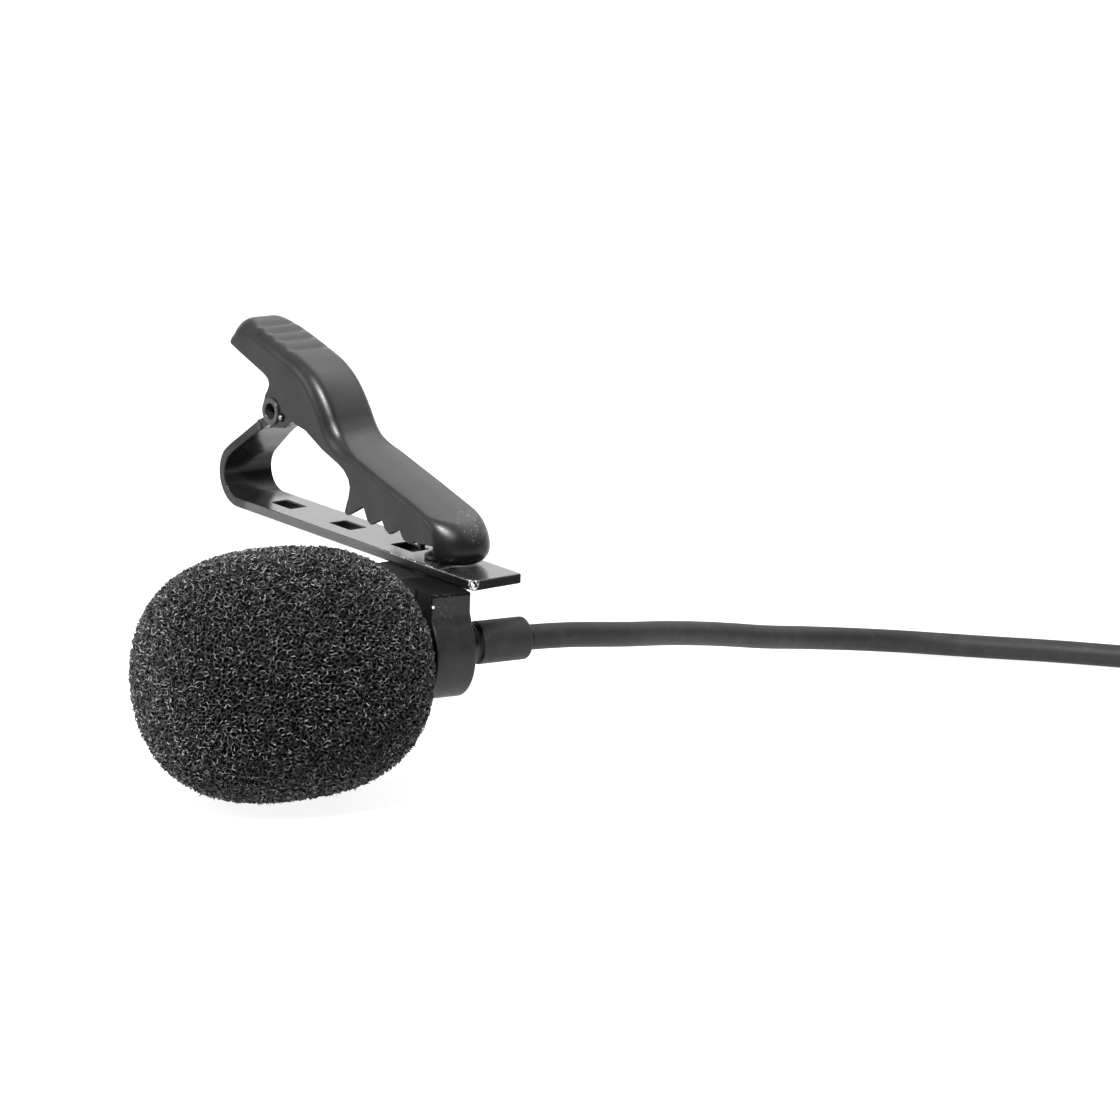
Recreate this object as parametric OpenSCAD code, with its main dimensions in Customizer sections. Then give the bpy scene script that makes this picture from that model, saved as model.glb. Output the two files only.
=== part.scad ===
/* [Microphone] */
// Outer diameter of the capsule tube
capsule_d = 8.3; // [8:0.1:8.5]
// Length of the capsule tube
capsule_len = 18.2; // [17:0.1:18.5]
// Diameter of the strain relief and of the collar in front of it
relief_d = 4.4; // [4:0.1:4.8]
// Length of the strain relief outside the collar
relief_len = 5.6; // [5:0.1:6]
// Diameter of the cord
cord_d = 2.6; // [2.4:0.1:2.6]

/* [Windscreen] */
// Largest diameter of the foam windscreen
foam_d = 24.7; // [23:0.1:25]
// Length of the foam windscreen
foam_len = 28.9; // [27:0.1:29]

/* [Holder] */
// Outer diameter of the holder ring
ring_d = 10.2; // [10:0.1:10.4]
// Width of the holder ring along the microphone
ring_w = 4.37; // [4:0.01:4.4]
// Width of the neck block across the microphone
neck_w = 7.1; // [6.6:0.1:7.4]

/* [Clip] */
// Width of the lower leaf
leaf_w = 6.25; // [6:0.05:6.3]
// Thickness of the lower leaf
leaf_t = 1.03; // [0.9:0.01:1.05]
// Outer width of the upper jaw
jaw_w = 6.8; // [6.7:0.05:6.9]
// Sheet thickness of the upper jaw
jaw_t = 0.7; // [0.6:0.05:0.7]
// Angle between the leaf and the square across the microphone
clip_turn = 11.1; // [0:0.1:15]
// Length of each slot in the leaf
slot_l = 3.7; // [3:0.1:3.8]
// Width of each slot in the leaf
slot_w = 2.1; // [1.8:0.1:2.4]

/* [Plug] */
// Diameter of the plug's contacts
pin_d = 3.5; // [3.5]
// Diameter of the plug's barrel
barrel_d = 8; // [7:0.1:8]

/* [Hidden] */

// the right-hand end face of the holder ring, on the microphone's axis
face_x = 12.8;
axis_y = -14;
axis_z = 13.0;

cap_r = capsule_d / 2;
cap_back = -0.3;
cap_front = cap_back - capsule_len;
collar_end = 1.9;
relief_start = 2.44;
relief_end = relief_start + relief_len;
cord_r = cord_d / 2;
foam_r = foam_d / 2;
foam_back = -4.77;
foam_mid = foam_back - foam_len / 2;
foam_dy = -1.2;
foam_dz = -0.65;

zt = 7.47;                 // top face of the leaf above the microphone's axis
rivet_s = 9.2;             // rivet's place behind the leaf's tip
rivet_x = 1.39;
rivet_y = 6.03;
leaf_under = zt - leaf_t;
washer_t = 0.3;
gap = 0.05;
pivot_s = 34.75;
pivot_h = 10.8;
shank_r = 1.15;
jaw_side = (jaw_w - leaf_w) / 2;

// the coil of spare cord
coil_x = 130;
coil_y = -7.35;
coil_rin = 8.9;
coil_rout = 19.7;
coil_h = 10.8;
tie_a = 40;                // where round the coil the tie sits
tie_w = 5;
tie_t = 0.6;

plug_x = 154.3;
plug_y = -11.35;
plug_z = 4.1;

// ---- helpers ----
module mic_frame() { translate([face_x, axis_y, axis_z]) children(); }

// turned about the microphone's axis: profile points are [along the axis, radius]
module turned(pts) { rotate([0, 90, 0]) rotate_extrude($fn = 96) polygon([for (p = pts) [p[1], p[0]]]); }

module rod(x0, x1, r) { translate([x0, 0, 0]) rotate([0, 90, 0]) cylinder(h = x1 - x0, r = r, $fn = 96); }

// clip coordinates: s backwards from the leaf's tip, h above the leaf, v across it
module clip_frame() {
  mic_frame() translate([rivet_x, rivet_y, zt]) rotate([90, 0, 90 + clip_turn])
    translate([-rivet_s, 0, -leaf_w / 2]) children();
}

function arc(cx, cy, r, a0, a1, n) = [for (i = [0 : n]) let (a = a0 + (a1 - a0) * i / n) [cx + r * cos(a), cy + r * sin(a)]];

// a round tube swept along points, closed at both ends
function unit(v) = v / norm(v);
function tangent(p, i) = unit(p[min(i + 1, len(p) - 1)] - p[max(i - 1, 0)]);
function catmull(a, b, c, d, t) = 0.5 * ((2 * b) + (c - a) * t + (2 * a - 5 * b + 4 * c - d) * t * t + (3 * b - a - 3 * c + d) * t * t * t);
function smooth_path(p, n) = [for (i = [0 : len(p) - 2]) for (k = [0 : n - 1])
    catmull(p[max(i - 1, 0)], p[i], p[i + 1], p[min(i + 2, len(p) - 1)], k / n), p[len(p) - 1]];
module tube(p, r, sides, ref) {
  n = len(p);
  pts = [for (i = [0 : n - 1]) let (t = tangent(p, i), a = unit(cross(ref, t)), b = cross(t, a))
      for (k = [0 : sides - 1]) p[i] + r * cos((k + 0.5) * 360 / sides) * a + r * sin((k + 0.5) * 360 / sides) * b];
  walls = [for (i = [0 : n - 2]) for (k = [0 : sides - 1]) let (k2 = (k + 1) % sides)
      [i * sides + k, (i + 1) * sides + k, (i + 1) * sides + k2, i * sides + k2]];
  polyhedron(points = pts, faces = concat(walls, [[for (k = [0 : sides - 1]) k]], [[for (k = [sides - 1 : -1 : 0]) (n - 1) * sides + k]]), convexity = 6);
}

// the cord from inside the capsule to the coil
lead_route = [[10.3, -14, 13], [16, -14, 13], [21, -14, 13], [26.5, -13.8, 12.7], [33.5, -11.85, 11.5], [41.5, -7.85, 9.8],
  [50, -3.85, 7.8], [58.5, -0.35, 5.7], [65, 2.65, 4.2], [73, 4.65, 2.7], [79.5, 4.65, 1.8], [85, 2.65, 1.4],
  [90, -0.35, 1.3], [96, -4.35, 1.3], [102, -8.95, 1.3], [108, -13.55, 1.3], [114, -18.25, 1.3], [116.5, -20.15, 1.3]];

// the cord from the top of the coil, round it and down to the plug: [angle, radius, height]
tail_polar = [[-150, 18.3, 9.4], [-130, 19.8, 9.2], [-110, 21.3, 8.4], [-92, 21.5, 7], [-74, 21.6, 5.2], [-57, 21.8, 3.6],
  [-43, 22.2, 2.5], [-31, 23, 2.6]];
tail_route = concat([for (p = tail_polar) [coil_x + p[1] * cos(p[0]), coil_y + p[1] * sin(p[0]), p[2]]],
  [[153.4, -14.95, 3.6], [154.3, -11.35, 4.1]]);

// ---- windscreen ----
function foam_x(r) = foam_len / 2 * pow(1 - pow(r / foam_r, 2.56), 1 / 2.56);
module foam_windscreen() {
  color([0.07, 0.07, 0.075]) mic_frame() difference() {
    translate([foam_mid, foam_dy, foam_dz])
      turned(concat([[foam_x(0), 0]], [for (a = [6 : 6 : 84]) let (r = foam_r * pow(sin(a), 0.78)) [foam_x(r), r]], [[0, foam_r]],
        [for (a = [84 : -6 : 6]) let (r = foam_r * pow(sin(a), 0.78)) [-foam_x(r), r]], [[-foam_x(0), 0]]));
    rod(cap_front - 0.2, 5, cap_r + 0.1);
  }
}

// ---- capsule ----
module capsule_body() {
  color([0.09, 0.09, 0.1]) mic_frame() turned([
    [cap_front, cap_r - 0.45], [cap_front, cap_r - 0.1], [cap_front + 0.1, cap_r], [cap_back - 0.15, cap_r], [cap_back, cap_r - 0.15],
    [cap_back, 1.75], [cap_back - 1, 1.75], [cap_back - 1, cap_r - 0.45]]);
}

module front_grille() {
  color([0.16, 0.16, 0.17]) mic_frame() difference() {
    rod(cap_front + 0.3, cap_front + 0.7, cap_r - 0.45);
    for (a = [0 : 60 : 300]) rotate([a, 0, 0]) translate([0, 0, 1.9]) rod(cap_front, cap_front + 1, 0.55);
    rod(cap_front, cap_front + 1, 0.55);
  }
}

module dust_felt() { color([0.2, 0.2, 0.21]) mic_frame() rod(cap_front + 0.7, cap_front + 1.3, cap_r - 0.5); }

module electret_cartridge() {
  color([0.75, 0.75, 0.77]) mic_frame() difference() {
    rod(cap_front + 1.5, cap_front + 4.2, 3);
    rod(cap_front + 1, cap_front + 1.75, 1);
    rod(cap_front + 4.05, cap_front + 5, 2.6);
  }
}

module cartridge_gasket() {
  color([0.1, 0.1, 0.1]) mic_frame() difference() {
    rod(cap_front + 1.35, cap_front + 4.4, cap_r - 0.5);
    rod(cap_front + 1.5, cap_front + 5, 3);
    rod(cap_front, cap_front + 5, 2.3);
  }
}

module circuit_board() {
  color([0.1, 0.3, 0.15]) mic_frame() union() {
    difference() {
      rod(cap_front + 5, cap_front + 5.8, 3.2);
      for (a = [60, 180, 300]) rotate([a, 0, 0]) translate([0, 0, 2.5]) rod(cap_front + 4, cap_front + 7, 0.35);
    }
    translate([cap_front + 5.8, -1.6, 0.4]) cube([0.9, 1.2, 0.7]);
    translate([cap_front + 5.8, 0.6, 0.2]) cube([1.1, 1, 1.6]);
    translate([cap_front + 5.8, -0.9, -1.6]) cube([0.8, 2, 1.1]);
  }
}

module cord_clamp() {
  color([0.72, 0.6, 0.35]) mic_frame() difference() {
    rod(-2.3, -1.35, 2.1);
    rod(-3, 0, cord_r + 0.05);
  }
}

module rear_collar() {
  color([0.6, 0.6, 0.62]) mic_frame() turned([
    [-1.3, cord_r + 0.1], [-1.3, 1.75], [cap_back, 1.75], [cap_back, relief_d / 2], [collar_end - 0.15, relief_d / 2], [collar_end, relief_d / 2 - 0.15],
    [collar_end, cord_r + 0.1]]);
}

module strain_relief() {
  color([0.06, 0.06, 0.065]) mic_frame() turned(concat([
    [collar_end, cord_r + 0.04], [collar_end, 1.85], [relief_start, 1.85], [relief_start, relief_d / 2 - 0.1], [relief_start + 0.1, relief_d / 2]],
    [for (a = [90 : -15 : 15]) [relief_end - 0.8 + 0.8 * cos(a), relief_d / 2 - 0.8 + 0.8 * sin(a)]],
    [[relief_end, cord_r + 0.04]]));
}

// ---- holder ----
module mic_holder() {
  color([0.1, 0.1, 0.105]) mic_frame() difference() {
    union() {
      rod(-ring_w, 0, ring_d / 2);
      translate([-ring_w, -neck_w / 2, 2.5]) cube([ring_w, neck_w, leaf_under - gap - 2.5]);
      translate([0, 0, 4.6]) linear_extrude(leaf_under - gap - washer_t - 4.6) union() {
        hull() {
          translate([rivet_x, rivet_y]) circle(r = 3, $fn = 96);
          translate([-2.1, 9.4]) circle(r = 2.2, $fn = 96);
        }
        polygon([[-ring_w, 0], [-ring_w, neck_w / 2], [-4.3, 9.4], [3.6, 4], [0, 1]]);
      }
    }
    rod(-ring_w - 1, 1, cap_r + gap);
    translate([rivet_x, rivet_y, 0]) cylinder(h = 10, r = 1.1, $fn = 96);
    translate([rivet_x, rivet_y, leaf_under - gap - washer_t]) cylinder(h = 5, r = 3.1, $fn = 96);
  }
}

module holder_rivet() {
  color([0.15, 0.15, 0.16]) mic_frame() translate([rivet_x, rivet_y, 0]) rotate_extrude($fn = 96) polygon([
    [0, 4.3], [1.7, 4.3], [1.7, 4.6], [1.1, 4.6], [1.1, zt + gap], [1.75, zt + gap], [1.75, zt + 0.35], [1.2, zt + 0.65], [0, zt + 0.7]]);
}

module swivel_washer() {
  color([0.5, 0.5, 0.5]) mic_frame() translate([rivet_x, rivet_y, leaf_under - gap - washer_t]) difference() {
    cylinder(h = washer_t, r = 2.9, $fn = 96);
    translate([0, 0, -1]) cylinder(h = 3, r = 1.1 + 0.02, $fn = 96);
  }
}

// ---- clip ----
// side view of the leaf: flat strip, loop at the back, then the two lugs
loop_c = [41.3, 2.5];
loop_r = loop_c[1] + leaf_t;
leaf_side = concat([[0, 0], [0, -leaf_t]], arc(loop_c[0], loop_c[1], loop_r, -90, 42, 12),
  [[42.1, 6.3], [40.3, 7.75], [38.4, 9.05]],
  [[37.9, 8.15], [39.75, 6.9], [41.4, 5.6]],
  arc(loop_c[0], loop_c[1], loop_r - leaf_t, 42, -90, 10));
lug_side = [[38.4, 9.05], [36.6, 10.05], [36.1, 10.3], [35.3, 9.5], [36.4, 9], [37.9, 8.15]];

module leaf_slot(s) { translate([s - slot_l / 2, 3, leaf_w / 2 - slot_w / 2]) rotate([90, 0, 0]) linear_extrude(6) square([slot_l, slot_w]); }

module clip_leaf() {
  color([0.22, 0.22, 0.23]) clip_frame() difference() {
    union() {
      linear_extrude(leaf_w) polygon(leaf_side);
      for (v = [0.55, leaf_w - 1.4]) translate([0, 0, v]) union() {
        linear_extrude(0.85) polygon(lug_side);
        translate([pivot_s, pivot_h, 0]) cylinder(h = 0.85, r = 1.6, $fn = 96);
      }
    }
    for (s = [14.5, 25.3, 36.1]) leaf_slot(s);
    translate([rivet_s, 3, leaf_w / 2]) rotate([90, 0, 0]) cylinder(h = 6, r = shank_r, $fn = 96);
    translate([pivot_s, pivot_h, -1]) cylinder(h = leaf_w + 2, r = shank_r + gap, $fn = 96);
  }
}

jaw_side_outer = [[3.4, 2], [3.6, 2.9], [4.15, 3.7], [5, 4.3], [9.6, 5.75], [16.4, 7.7], [22.4, 9.5], [23.5, 10.2], [24.4, 11.3], [25, 12.2],
  [26, 13.5], [26.9, 14.5], [27.8, 15.3], [28.8, 16], [30.5, 16.85], [32.4, 17.45], [36.1, 18.5], [39.8, 19.5], [41.2, 19.8], [42.2, 19.6],
  [42.8, 19.1], [43.1, 18.2], [43.15, 16.9], [36.3, 14.5], [35.6, 14.1], [35.35, 13.6], [35.6, 13], [36.05, 12.3], [36.3, 11.5],
  [36.35, 10.8], [36.1, 10], [35.5, 9.4], [34.7, 9.15], [33.6, 9.2], [32.4, 9.4], [31.6, 10], [31, 10.3], [30.3, 10.15], [28.6, 9.85],
  [27.4, 9.25], [25.6, 8.4], [23.8, 7.8], [22.7, 7.45], [21.6, 6.9], [20.9, 6.2], [20.6, 5.4], [20.8, 4.3], [21.15, 3.45], [21.4, 2.6],
  [20.95, 2.35], [18.2, 3.85], [17.5, 2.6], [16.9, 2.2], [15.05, 3.15], [14.35, 2.2], [13.65, 1.9], [12, 2.75], [11.3, 1.85],
  [10.25, 1.6], [9.1, 2.1], [8.45, 1.2], [8.4, 2], [6.45, 2.2], [6.35, 0.12], [3.9, 0.12], [3.5, 0.9]];
jaw_side_inner = [[4.1, -1], [4.1, 2], [4.4, 2.7], [5.3, 3.6], [9.8, 5], [16.6, 6.95], [22.7, 8.8], [24, 9.8], [25, 11.1], [25.6, 11.95],
  [26.55, 13.15], [27.4, 14], [28.25, 14.7], [29.2, 15.3], [30.75, 16.1], [32.6, 16.7], [36.3, 17.75], [40, 18.75], [41.3, 19.05], [42, 18.8],
  [42.4, 18.1], [42.45, 10], [34.75, 5], [24, -1]];

module plan_cut(inset, s0, s1, corner) {
  translate([0, 25, 0]) rotate([90, 0, 0]) linear_extrude(30) union() {
    translate([3.4 + jaw_w / 2, leaf_w / 2]) circle(r = jaw_w / 2 - inset, $fn = 96);
    translate([s0, -jaw_side + inset]) square([s1 - corner - s0, jaw_w - 2 * inset]);
    translate([s1 - corner, -jaw_side + inset + corner]) square([corner, jaw_w - 2 * inset - 2 * corner]);
    for (v = [-jaw_side + inset + corner, leaf_w + jaw_side - inset - corner]) translate([s1 - corner, v]) circle(r = corner, $fn = 96);
  }
}

module clip_jaw() {
  color([0.2, 0.2, 0.21]) clip_frame() difference() {
    intersection() {
      translate([0, 0, -jaw_side]) linear_extrude(jaw_w) polygon(jaw_side_outer);
      plan_cut(0, 3.4 + jaw_w / 2, 43.2, 1.8);
    }
    intersection() {
      translate([0, 0, -jaw_side + jaw_t]) linear_extrude(jaw_w - 2 * jaw_t) polygon(jaw_side_inner);
      plan_cut(jaw_t, 3.4 + jaw_w / 2, 43.2 - jaw_t, 1.1);
    }
    translate([pivot_s, pivot_h, -2]) cylinder(h = leaf_w + 4, r = shank_r, $fn = 96);
    translate([32.8, 10.5, -2]) cylinder(h = 4, r = 0.45, $fn = 48);
  }
}

module pivot_eyelet() {
  color([0.3, 0.3, 0.31]) clip_frame() translate([pivot_s, pivot_h, leaf_w / 2]) difference() {
    union() {
      cylinder(h = jaw_w, r = shank_r, center = true, $fn = 96);
      for (m = [-1, 1]) translate([0, 0, m * (jaw_w / 2 + 0.125)]) cylinder(h = 0.25, r = 1.45, center = true, $fn = 96);
    }
    cylinder(h = 20, r = 0.85, center = true, $fn = 96);
  }
}

// spring: three turns round the eyelet, one leg hooked into the jaw's near wall, one on the back of the loop
wire_r = 0.25;
spring_r = 1.55;
turns = 3.4;
coil_v0 = leaf_w / 2 - 0.9;
spring_path = concat(
  [[32.8, 10.5, 0.75], [32.82, 10.45, 1.3], [33.1, 10.2, coil_v0 - 0.15]],
  [for (i = [0 : 54]) let (a = 190 + i * turns * 360 / 54) [pivot_s + spring_r * cos(a), pivot_h + spring_r * sin(a), coil_v0 + i * turns * 0.53 / 54]],
  [[36.9, 10.45, coil_v0 + 1.85], [38.7, 9.3, coil_v0 + 1.85], [40.5, 8, coil_v0 + 1.85]]);

module torsion_spring() {
  color([0.55, 0.55, 0.56]) clip_frame() union() {
    tube(spring_path, wire_r, 8, [0.05, 0.1, 1]);
    translate([32.8, 10.5, -jaw_side - 0.3]) cylinder(h = 1.2 + jaw_side, r = wire_r, $fn = 32);
  }
}

// ---- cord and plug ----
module cord_lead() { color([0.07, 0.07, 0.075]) tube(smooth_path(lead_route, 2), cord_r, 8, [0, 0, 1]); }
module cord_tail() { color([0.07, 0.07, 0.075]) tube(smooth_path(tail_route, 2), cord_r, 8, [0, 0, 1]); }

module cord_coil() {
  color([0.07, 0.07, 0.075]) translate([coil_x, coil_y, 0]) difference() {
    rotate_extrude($fn = 96) polygon([[coil_rin + 0.8, 0], [coil_rout - 1, 0], [coil_rout, 1], [coil_rout, coil_h - 1], [coil_rout - 1, coil_h],
      [coil_rin + 0.8, coil_h], [coil_rin, coil_h - 0.8], [coil_rin, 0.8]]);
    rotate([0, 0, tie_a]) translate([coil_rin - 2, -tie_w / 2 - 0.02, -1]) cube([16, tie_w + 0.04, 1 + tie_t]);
  }
}

module coil_tie() {
  color([0.05, 0.05, 0.05]) translate([coil_x, coil_y, 0]) rotate([0, 0, tie_a]) difference() {
    translate([coil_rin - tie_t - 0.3, -tie_w / 2, 0]) cube([coil_rout - coil_rin + 2 * tie_t + 0.4, tie_w, coil_h + tie_t + 0.3]);
    translate([coil_rin - 0.3, -tie_w, tie_t]) cube([coil_rout - coil_rin + 0.4, 2 * tie_w, coil_h - tie_t + 0.3]);
  }
}

// plug profiles run along +Y: [along the axis, radius]
module plug_turned(pts) { translate([plug_x, plug_y, plug_z]) rotate([-90, 0, 0]) rotate_extrude($fn = 96) polygon([for (p = pts) [p[1], p[0]]]); }

module plug_boot() { color([0.06, 0.06, 0.065]) plug_turned([[0, 0], [0, 1.9], [0.5, 2.1], [8.5, 3], [10, 3], [10, 2.4], [11.5, 2.4], [11.5, 0]]); }
module plug_barrel() { color([0.12, 0.12, 0.125]) plug_turned([[10, 2.4], [10, 3.6], [10.6, barrel_d / 2], [24.4, barrel_d / 2], [25, 3.7], [25, 2.6], [11.5, 2.6], [11.5, 2.4]]); }
module plug_sleeve() { color([0.8, 0.68, 0.35]) plug_turned([[13, 0.6], [13, 2.6], [25, 2.6], [25, 2.9], [25.8, 2.9], [25.8, pin_d / 2], [32.8, pin_d / 2], [32.8, 1.3], [20, 1.3], [20, 0.6]]); }
module plug_insulators() {
  color([0.05, 0.05, 0.05]) union() {
    plug_turned([[22, 0.7], [22, 1.3], [32.8, 1.3], [32.8, pin_d / 2], [33.5, pin_d / 2], [33.5, 0.7]]);
    plug_turned([[35, 0.5], [35, pin_d / 2], [35.7, pin_d / 2], [35.7, 0.5]]);
  }
}
module plug_ring() { color([0.8, 0.68, 0.35]) plug_turned([[33.5, 0.5], [33.5, pin_d / 2], [35, pin_d / 2], [35, 0.5]]); }
module plug_tip() {
  color([0.8, 0.68, 0.35]) plug_turned([[21, 0], [21, 0.5], [35.7, 0.5], [35.7, 1.7], [36, pin_d / 2], [36.3, 1.6], [36.9, 1.2], [37.5, 1.65], [38.1, 1.62],
    [39.2, 0.9], [39.6, 0.35], [39.7, 0]]);
}

foam_windscreen();
capsule_body();
front_grille();
dust_felt();
electret_cartridge();
cartridge_gasket();
circuit_board();
cord_clamp();
rear_collar();
strain_relief();
mic_holder();
holder_rivet();
swivel_washer();
clip_leaf();
clip_jaw();
pivot_eyelet();
torsion_spring();
cord_lead();
cord_coil();
coil_tie();
cord_tail();
plug_boot();
plug_barrel();
plug_sleeve();
plug_insulators();
plug_ring();
plug_tip();
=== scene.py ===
import math

import bmesh
import bpy
import numpy as np
from mathutils import Matrix, Vector
from mathutils.kdtree import KDTree


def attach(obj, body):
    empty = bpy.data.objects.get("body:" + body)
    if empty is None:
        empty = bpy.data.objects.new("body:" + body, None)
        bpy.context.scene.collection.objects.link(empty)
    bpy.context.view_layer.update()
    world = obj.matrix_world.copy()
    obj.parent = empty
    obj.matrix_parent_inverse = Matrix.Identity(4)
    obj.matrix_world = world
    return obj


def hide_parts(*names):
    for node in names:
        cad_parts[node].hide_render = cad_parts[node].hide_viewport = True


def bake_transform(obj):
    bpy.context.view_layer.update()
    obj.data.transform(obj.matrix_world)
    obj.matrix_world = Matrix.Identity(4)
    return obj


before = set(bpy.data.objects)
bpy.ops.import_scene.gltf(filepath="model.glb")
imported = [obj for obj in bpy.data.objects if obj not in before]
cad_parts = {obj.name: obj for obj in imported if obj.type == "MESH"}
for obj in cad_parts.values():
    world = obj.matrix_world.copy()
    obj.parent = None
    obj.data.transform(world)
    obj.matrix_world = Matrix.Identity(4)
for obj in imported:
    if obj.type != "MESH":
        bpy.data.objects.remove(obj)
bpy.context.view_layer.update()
MM = 0.001
FACE_X, AXIS_Y, AXIS_Z = 12.8, -14.0, 13.0  # right-hand end face of the holder ring


# ------------------------------------------------------------------ camera, stage, light
def camera():
    a, e, roll = 0.5069, 0.2494, 0.0399
    r = np.array([math.cos(a), -math.sin(a), 0.0])
    f = np.array([math.sin(a) * math.cos(e), math.cos(a) * math.cos(e), -math.sin(e)])
    up = np.cross(r, f)
    c, s = math.cos(roll), math.sin(roll)
    r2, up2 = c * r + s * up, -s * r + c * up
    cam = bpy.data.objects.new("camera", bpy.data.cameras.new("camera"))
    cam.data.sensor_width = 36.0
    cam.data.lens = 36.0 * 3351.98 / 1120.0
    cam.data.clip_start, cam.data.clip_end = 0.01, 20.0
    p = np.array([FACE_X - 148.113, AXIS_Y - 288.006, AXIS_Z + 91.686]) * MM
    m = Matrix.Identity(4)
    for i in range(3):
        m[i][0], m[i][1], m[i][2], m[i][3] = r2[i], up2[i], -f[i], p[i]
    cam.matrix_world = m
    bpy.context.scene.collection.objects.link(cam)
    bpy.context.scene.camera = cam
    return p, f, r2, up2


CAM, LOOK, RIGHT, UP = camera()


def new_mesh(name, verts, faces, normals=None, smooth=True):
    me = bpy.data.meshes.new(name)
    verts = np.asarray(verts, np.float32)
    if isinstance(faces, np.ndarray):
        n, k = faces.shape
        me.vertices.add(len(verts))
        me.vertices.foreach_set("co", verts.ravel())
        me.loops.add(n * k)
        me.loops.foreach_set("vertex_index", faces.astype(np.int32).ravel())
        me.polygons.add(n)
        me.polygons.foreach_set("loop_start", np.arange(0, n * k, k, dtype=np.int32))
        me.polygons.foreach_set("loop_total", np.full(n, k, np.int32))
        me.update(calc_edges=True)
        me.validate()
    else:
        me.from_pydata([tuple(map(float, v)) for v in verts], [], faces)
        me.update()
    me.polygons.foreach_set("use_smooth", np.full(len(me.polygons), smooth))
    if normals is not None and len(me.vertices) == len(normals):
        me.normals_split_custom_set_from_vertices([tuple(map(float, n)) for n in normals])
    o = bpy.data.objects.new(name, me)
    bpy.context.scene.collection.objects.link(o)
    return o


def area_light(name, at, to, size, watts, size_y=None, colour=(1, 1, 1)):
    d = bpy.data.lights.new(name, "AREA")
    d.energy, d.size, d.color = watts, size, colour
    if size_y:
        d.shape, d.size_y = "RECTANGLE", size_y
    o = bpy.data.objects.new(name, d)
    o.location = at
    o.rotation_euler = (Vector(to) - Vector(at)).to_track_quat("-Z", "Y").to_euler()
    bpy.context.scene.collection.objects.link(o)
    return o


WORLD = {"front": 0.13, "back": 1.15, "top": 2.25, "left": 0.88, "right": 0.9}


def stage():
    scene = bpy.context.scene
    scene.view_settings.view_transform = "Standard"
    scene.view_settings.look = "None"
    world = bpy.data.worlds.new("studio")
    scene.world = world
    world.use_nodes = True
    nt = world.node_tree
    bg = nt.nodes["Background"]
    coord = nt.nodes.new("ShaderNodeTexCoord")
    sep = nt.nodes.new("ShaderNodeSeparateXYZ")
    nt.links.new(coord.outputs["Generated"], sep.inputs[0])

    def span(value, low, high, to_low, to_high):
        n = nt.nodes.new("ShaderNodeMapRange")
        n.interpolation_type = "SMOOTHSTEP"
        nt.links.new(value, n.inputs["Value"])
        for k, v in (("From Min", low), ("From Max", high), ("To Min", to_low), ("To Max", to_high)):
            n.inputs[k].default_value = v
        return n.outputs["Result"]

    def times(a, b):
        n = nt.nodes.new("ShaderNodeMath")
        n.operation = "MULTIPLY"
        nt.links.new(a, n.inputs[0])
        nt.links.new(b, n.inputs[1])
        return n.outputs[0]

    back = span(sep.outputs["Y"], -0.6, 0.4, WORLD["front"], WORLD["back"])
    top = span(sep.outputs["Z"], 0.1, 0.95, 1.0, WORLD["top"])
    side = span(sep.outputs["X"], -0.8, 0.8, WORLD["left"], WORLD["right"])
    nt.links.new(times(times(back, top), side), bg.inputs[1])
    bg.inputs[0].default_value = (1, 1, 1, 1)
    # floor: a wide pale sheet that curves up far behind; it glows, and the glow lights the object from below and keeps
    # its shadow faint
    n = 64
    verts, faces = [], []
    rows = [(-1.6, 0.0), (-0.4, 0.0), (0.4, 0.0), (1.0, 0.0)]
    rows += [(1.0 + 0.8 * math.sin(t), 0.8 - 0.8 * math.cos(t)) for t in np.linspace(0.1, 1.5, 12)]
    rows += [(1.8, 3.0)]
    for y, z in rows:
        for i in range(n):
            verts.append((-3 + 6 * i / (n - 1), y, z - 0.00002))
    for j in range(len(rows) - 1):
        for i in range(n - 1):
            faces.append((j * n + i, j * n + i + 1, (j + 1) * n + i + 1, (j + 1) * n + i))
    floor = new_mesh("floor", verts, faces)
    m = bpy.data.materials.new("floor")
    m.use_nodes = True
    b = m.node_tree.nodes["Principled BSDF"]
    b.inputs["Base Color"].default_value = (0.3, 0.3, 0.3, 1)
    b.inputs["Roughness"].default_value = 0.9
    b.inputs["Specular IOR Level"].default_value = 0.1
    b.inputs["Emission Color"].default_value = (1, 1, 1, 1)
    # painted light: the floor glows brightest under and behind the object, the glow falling away in front of it
    at = m.node_tree.nodes.new("ShaderNodeTexCoord")
    cut = m.node_tree.nodes.new("ShaderNodeSeparateXYZ")
    fade = m.node_tree.nodes.new("ShaderNodeMapRange")
    fade.interpolation_type = "SMOOTHSTEP"
    m.node_tree.links.new(at.outputs["Object"], cut.inputs[0])
    m.node_tree.links.new(cut.outputs["Y"], fade.inputs["Value"])
    for k, v in (("From Min", -0.21), ("From Max", -0.10), ("To Min", 0.1), ("To Max", 0.9)):
        fade.inputs[k].default_value = v
    m.node_tree.links.new(fade.outputs["Result"], b.inputs["Emission Strength"])
    floor.data.materials.append(m)
    area_light("key", (-0.50, -0.36, 0.80), (0.0, 0.0, 0.02), 0.12, 18.0)
    area_light("edge", (-0.75, 0.25, 0.30), (0.0, -0.01, 0.015), 0.3, 1.6)


stage()

# ------------------------------------------------------------------ clip frame
CLIP_TURN = math.radians(11.1)
RIVET = (1.39, 6.03)
RIVET_S, LEAF_W, LEAF_T, ZT = 9.2, 6.25, 1.03, 7.47
JAW_W, JAW_T = 6.8, 0.7
JAW_SIDE = (JAW_W - LEAF_W) / 2
PIVOT = (34.75, 10.8)


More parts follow.
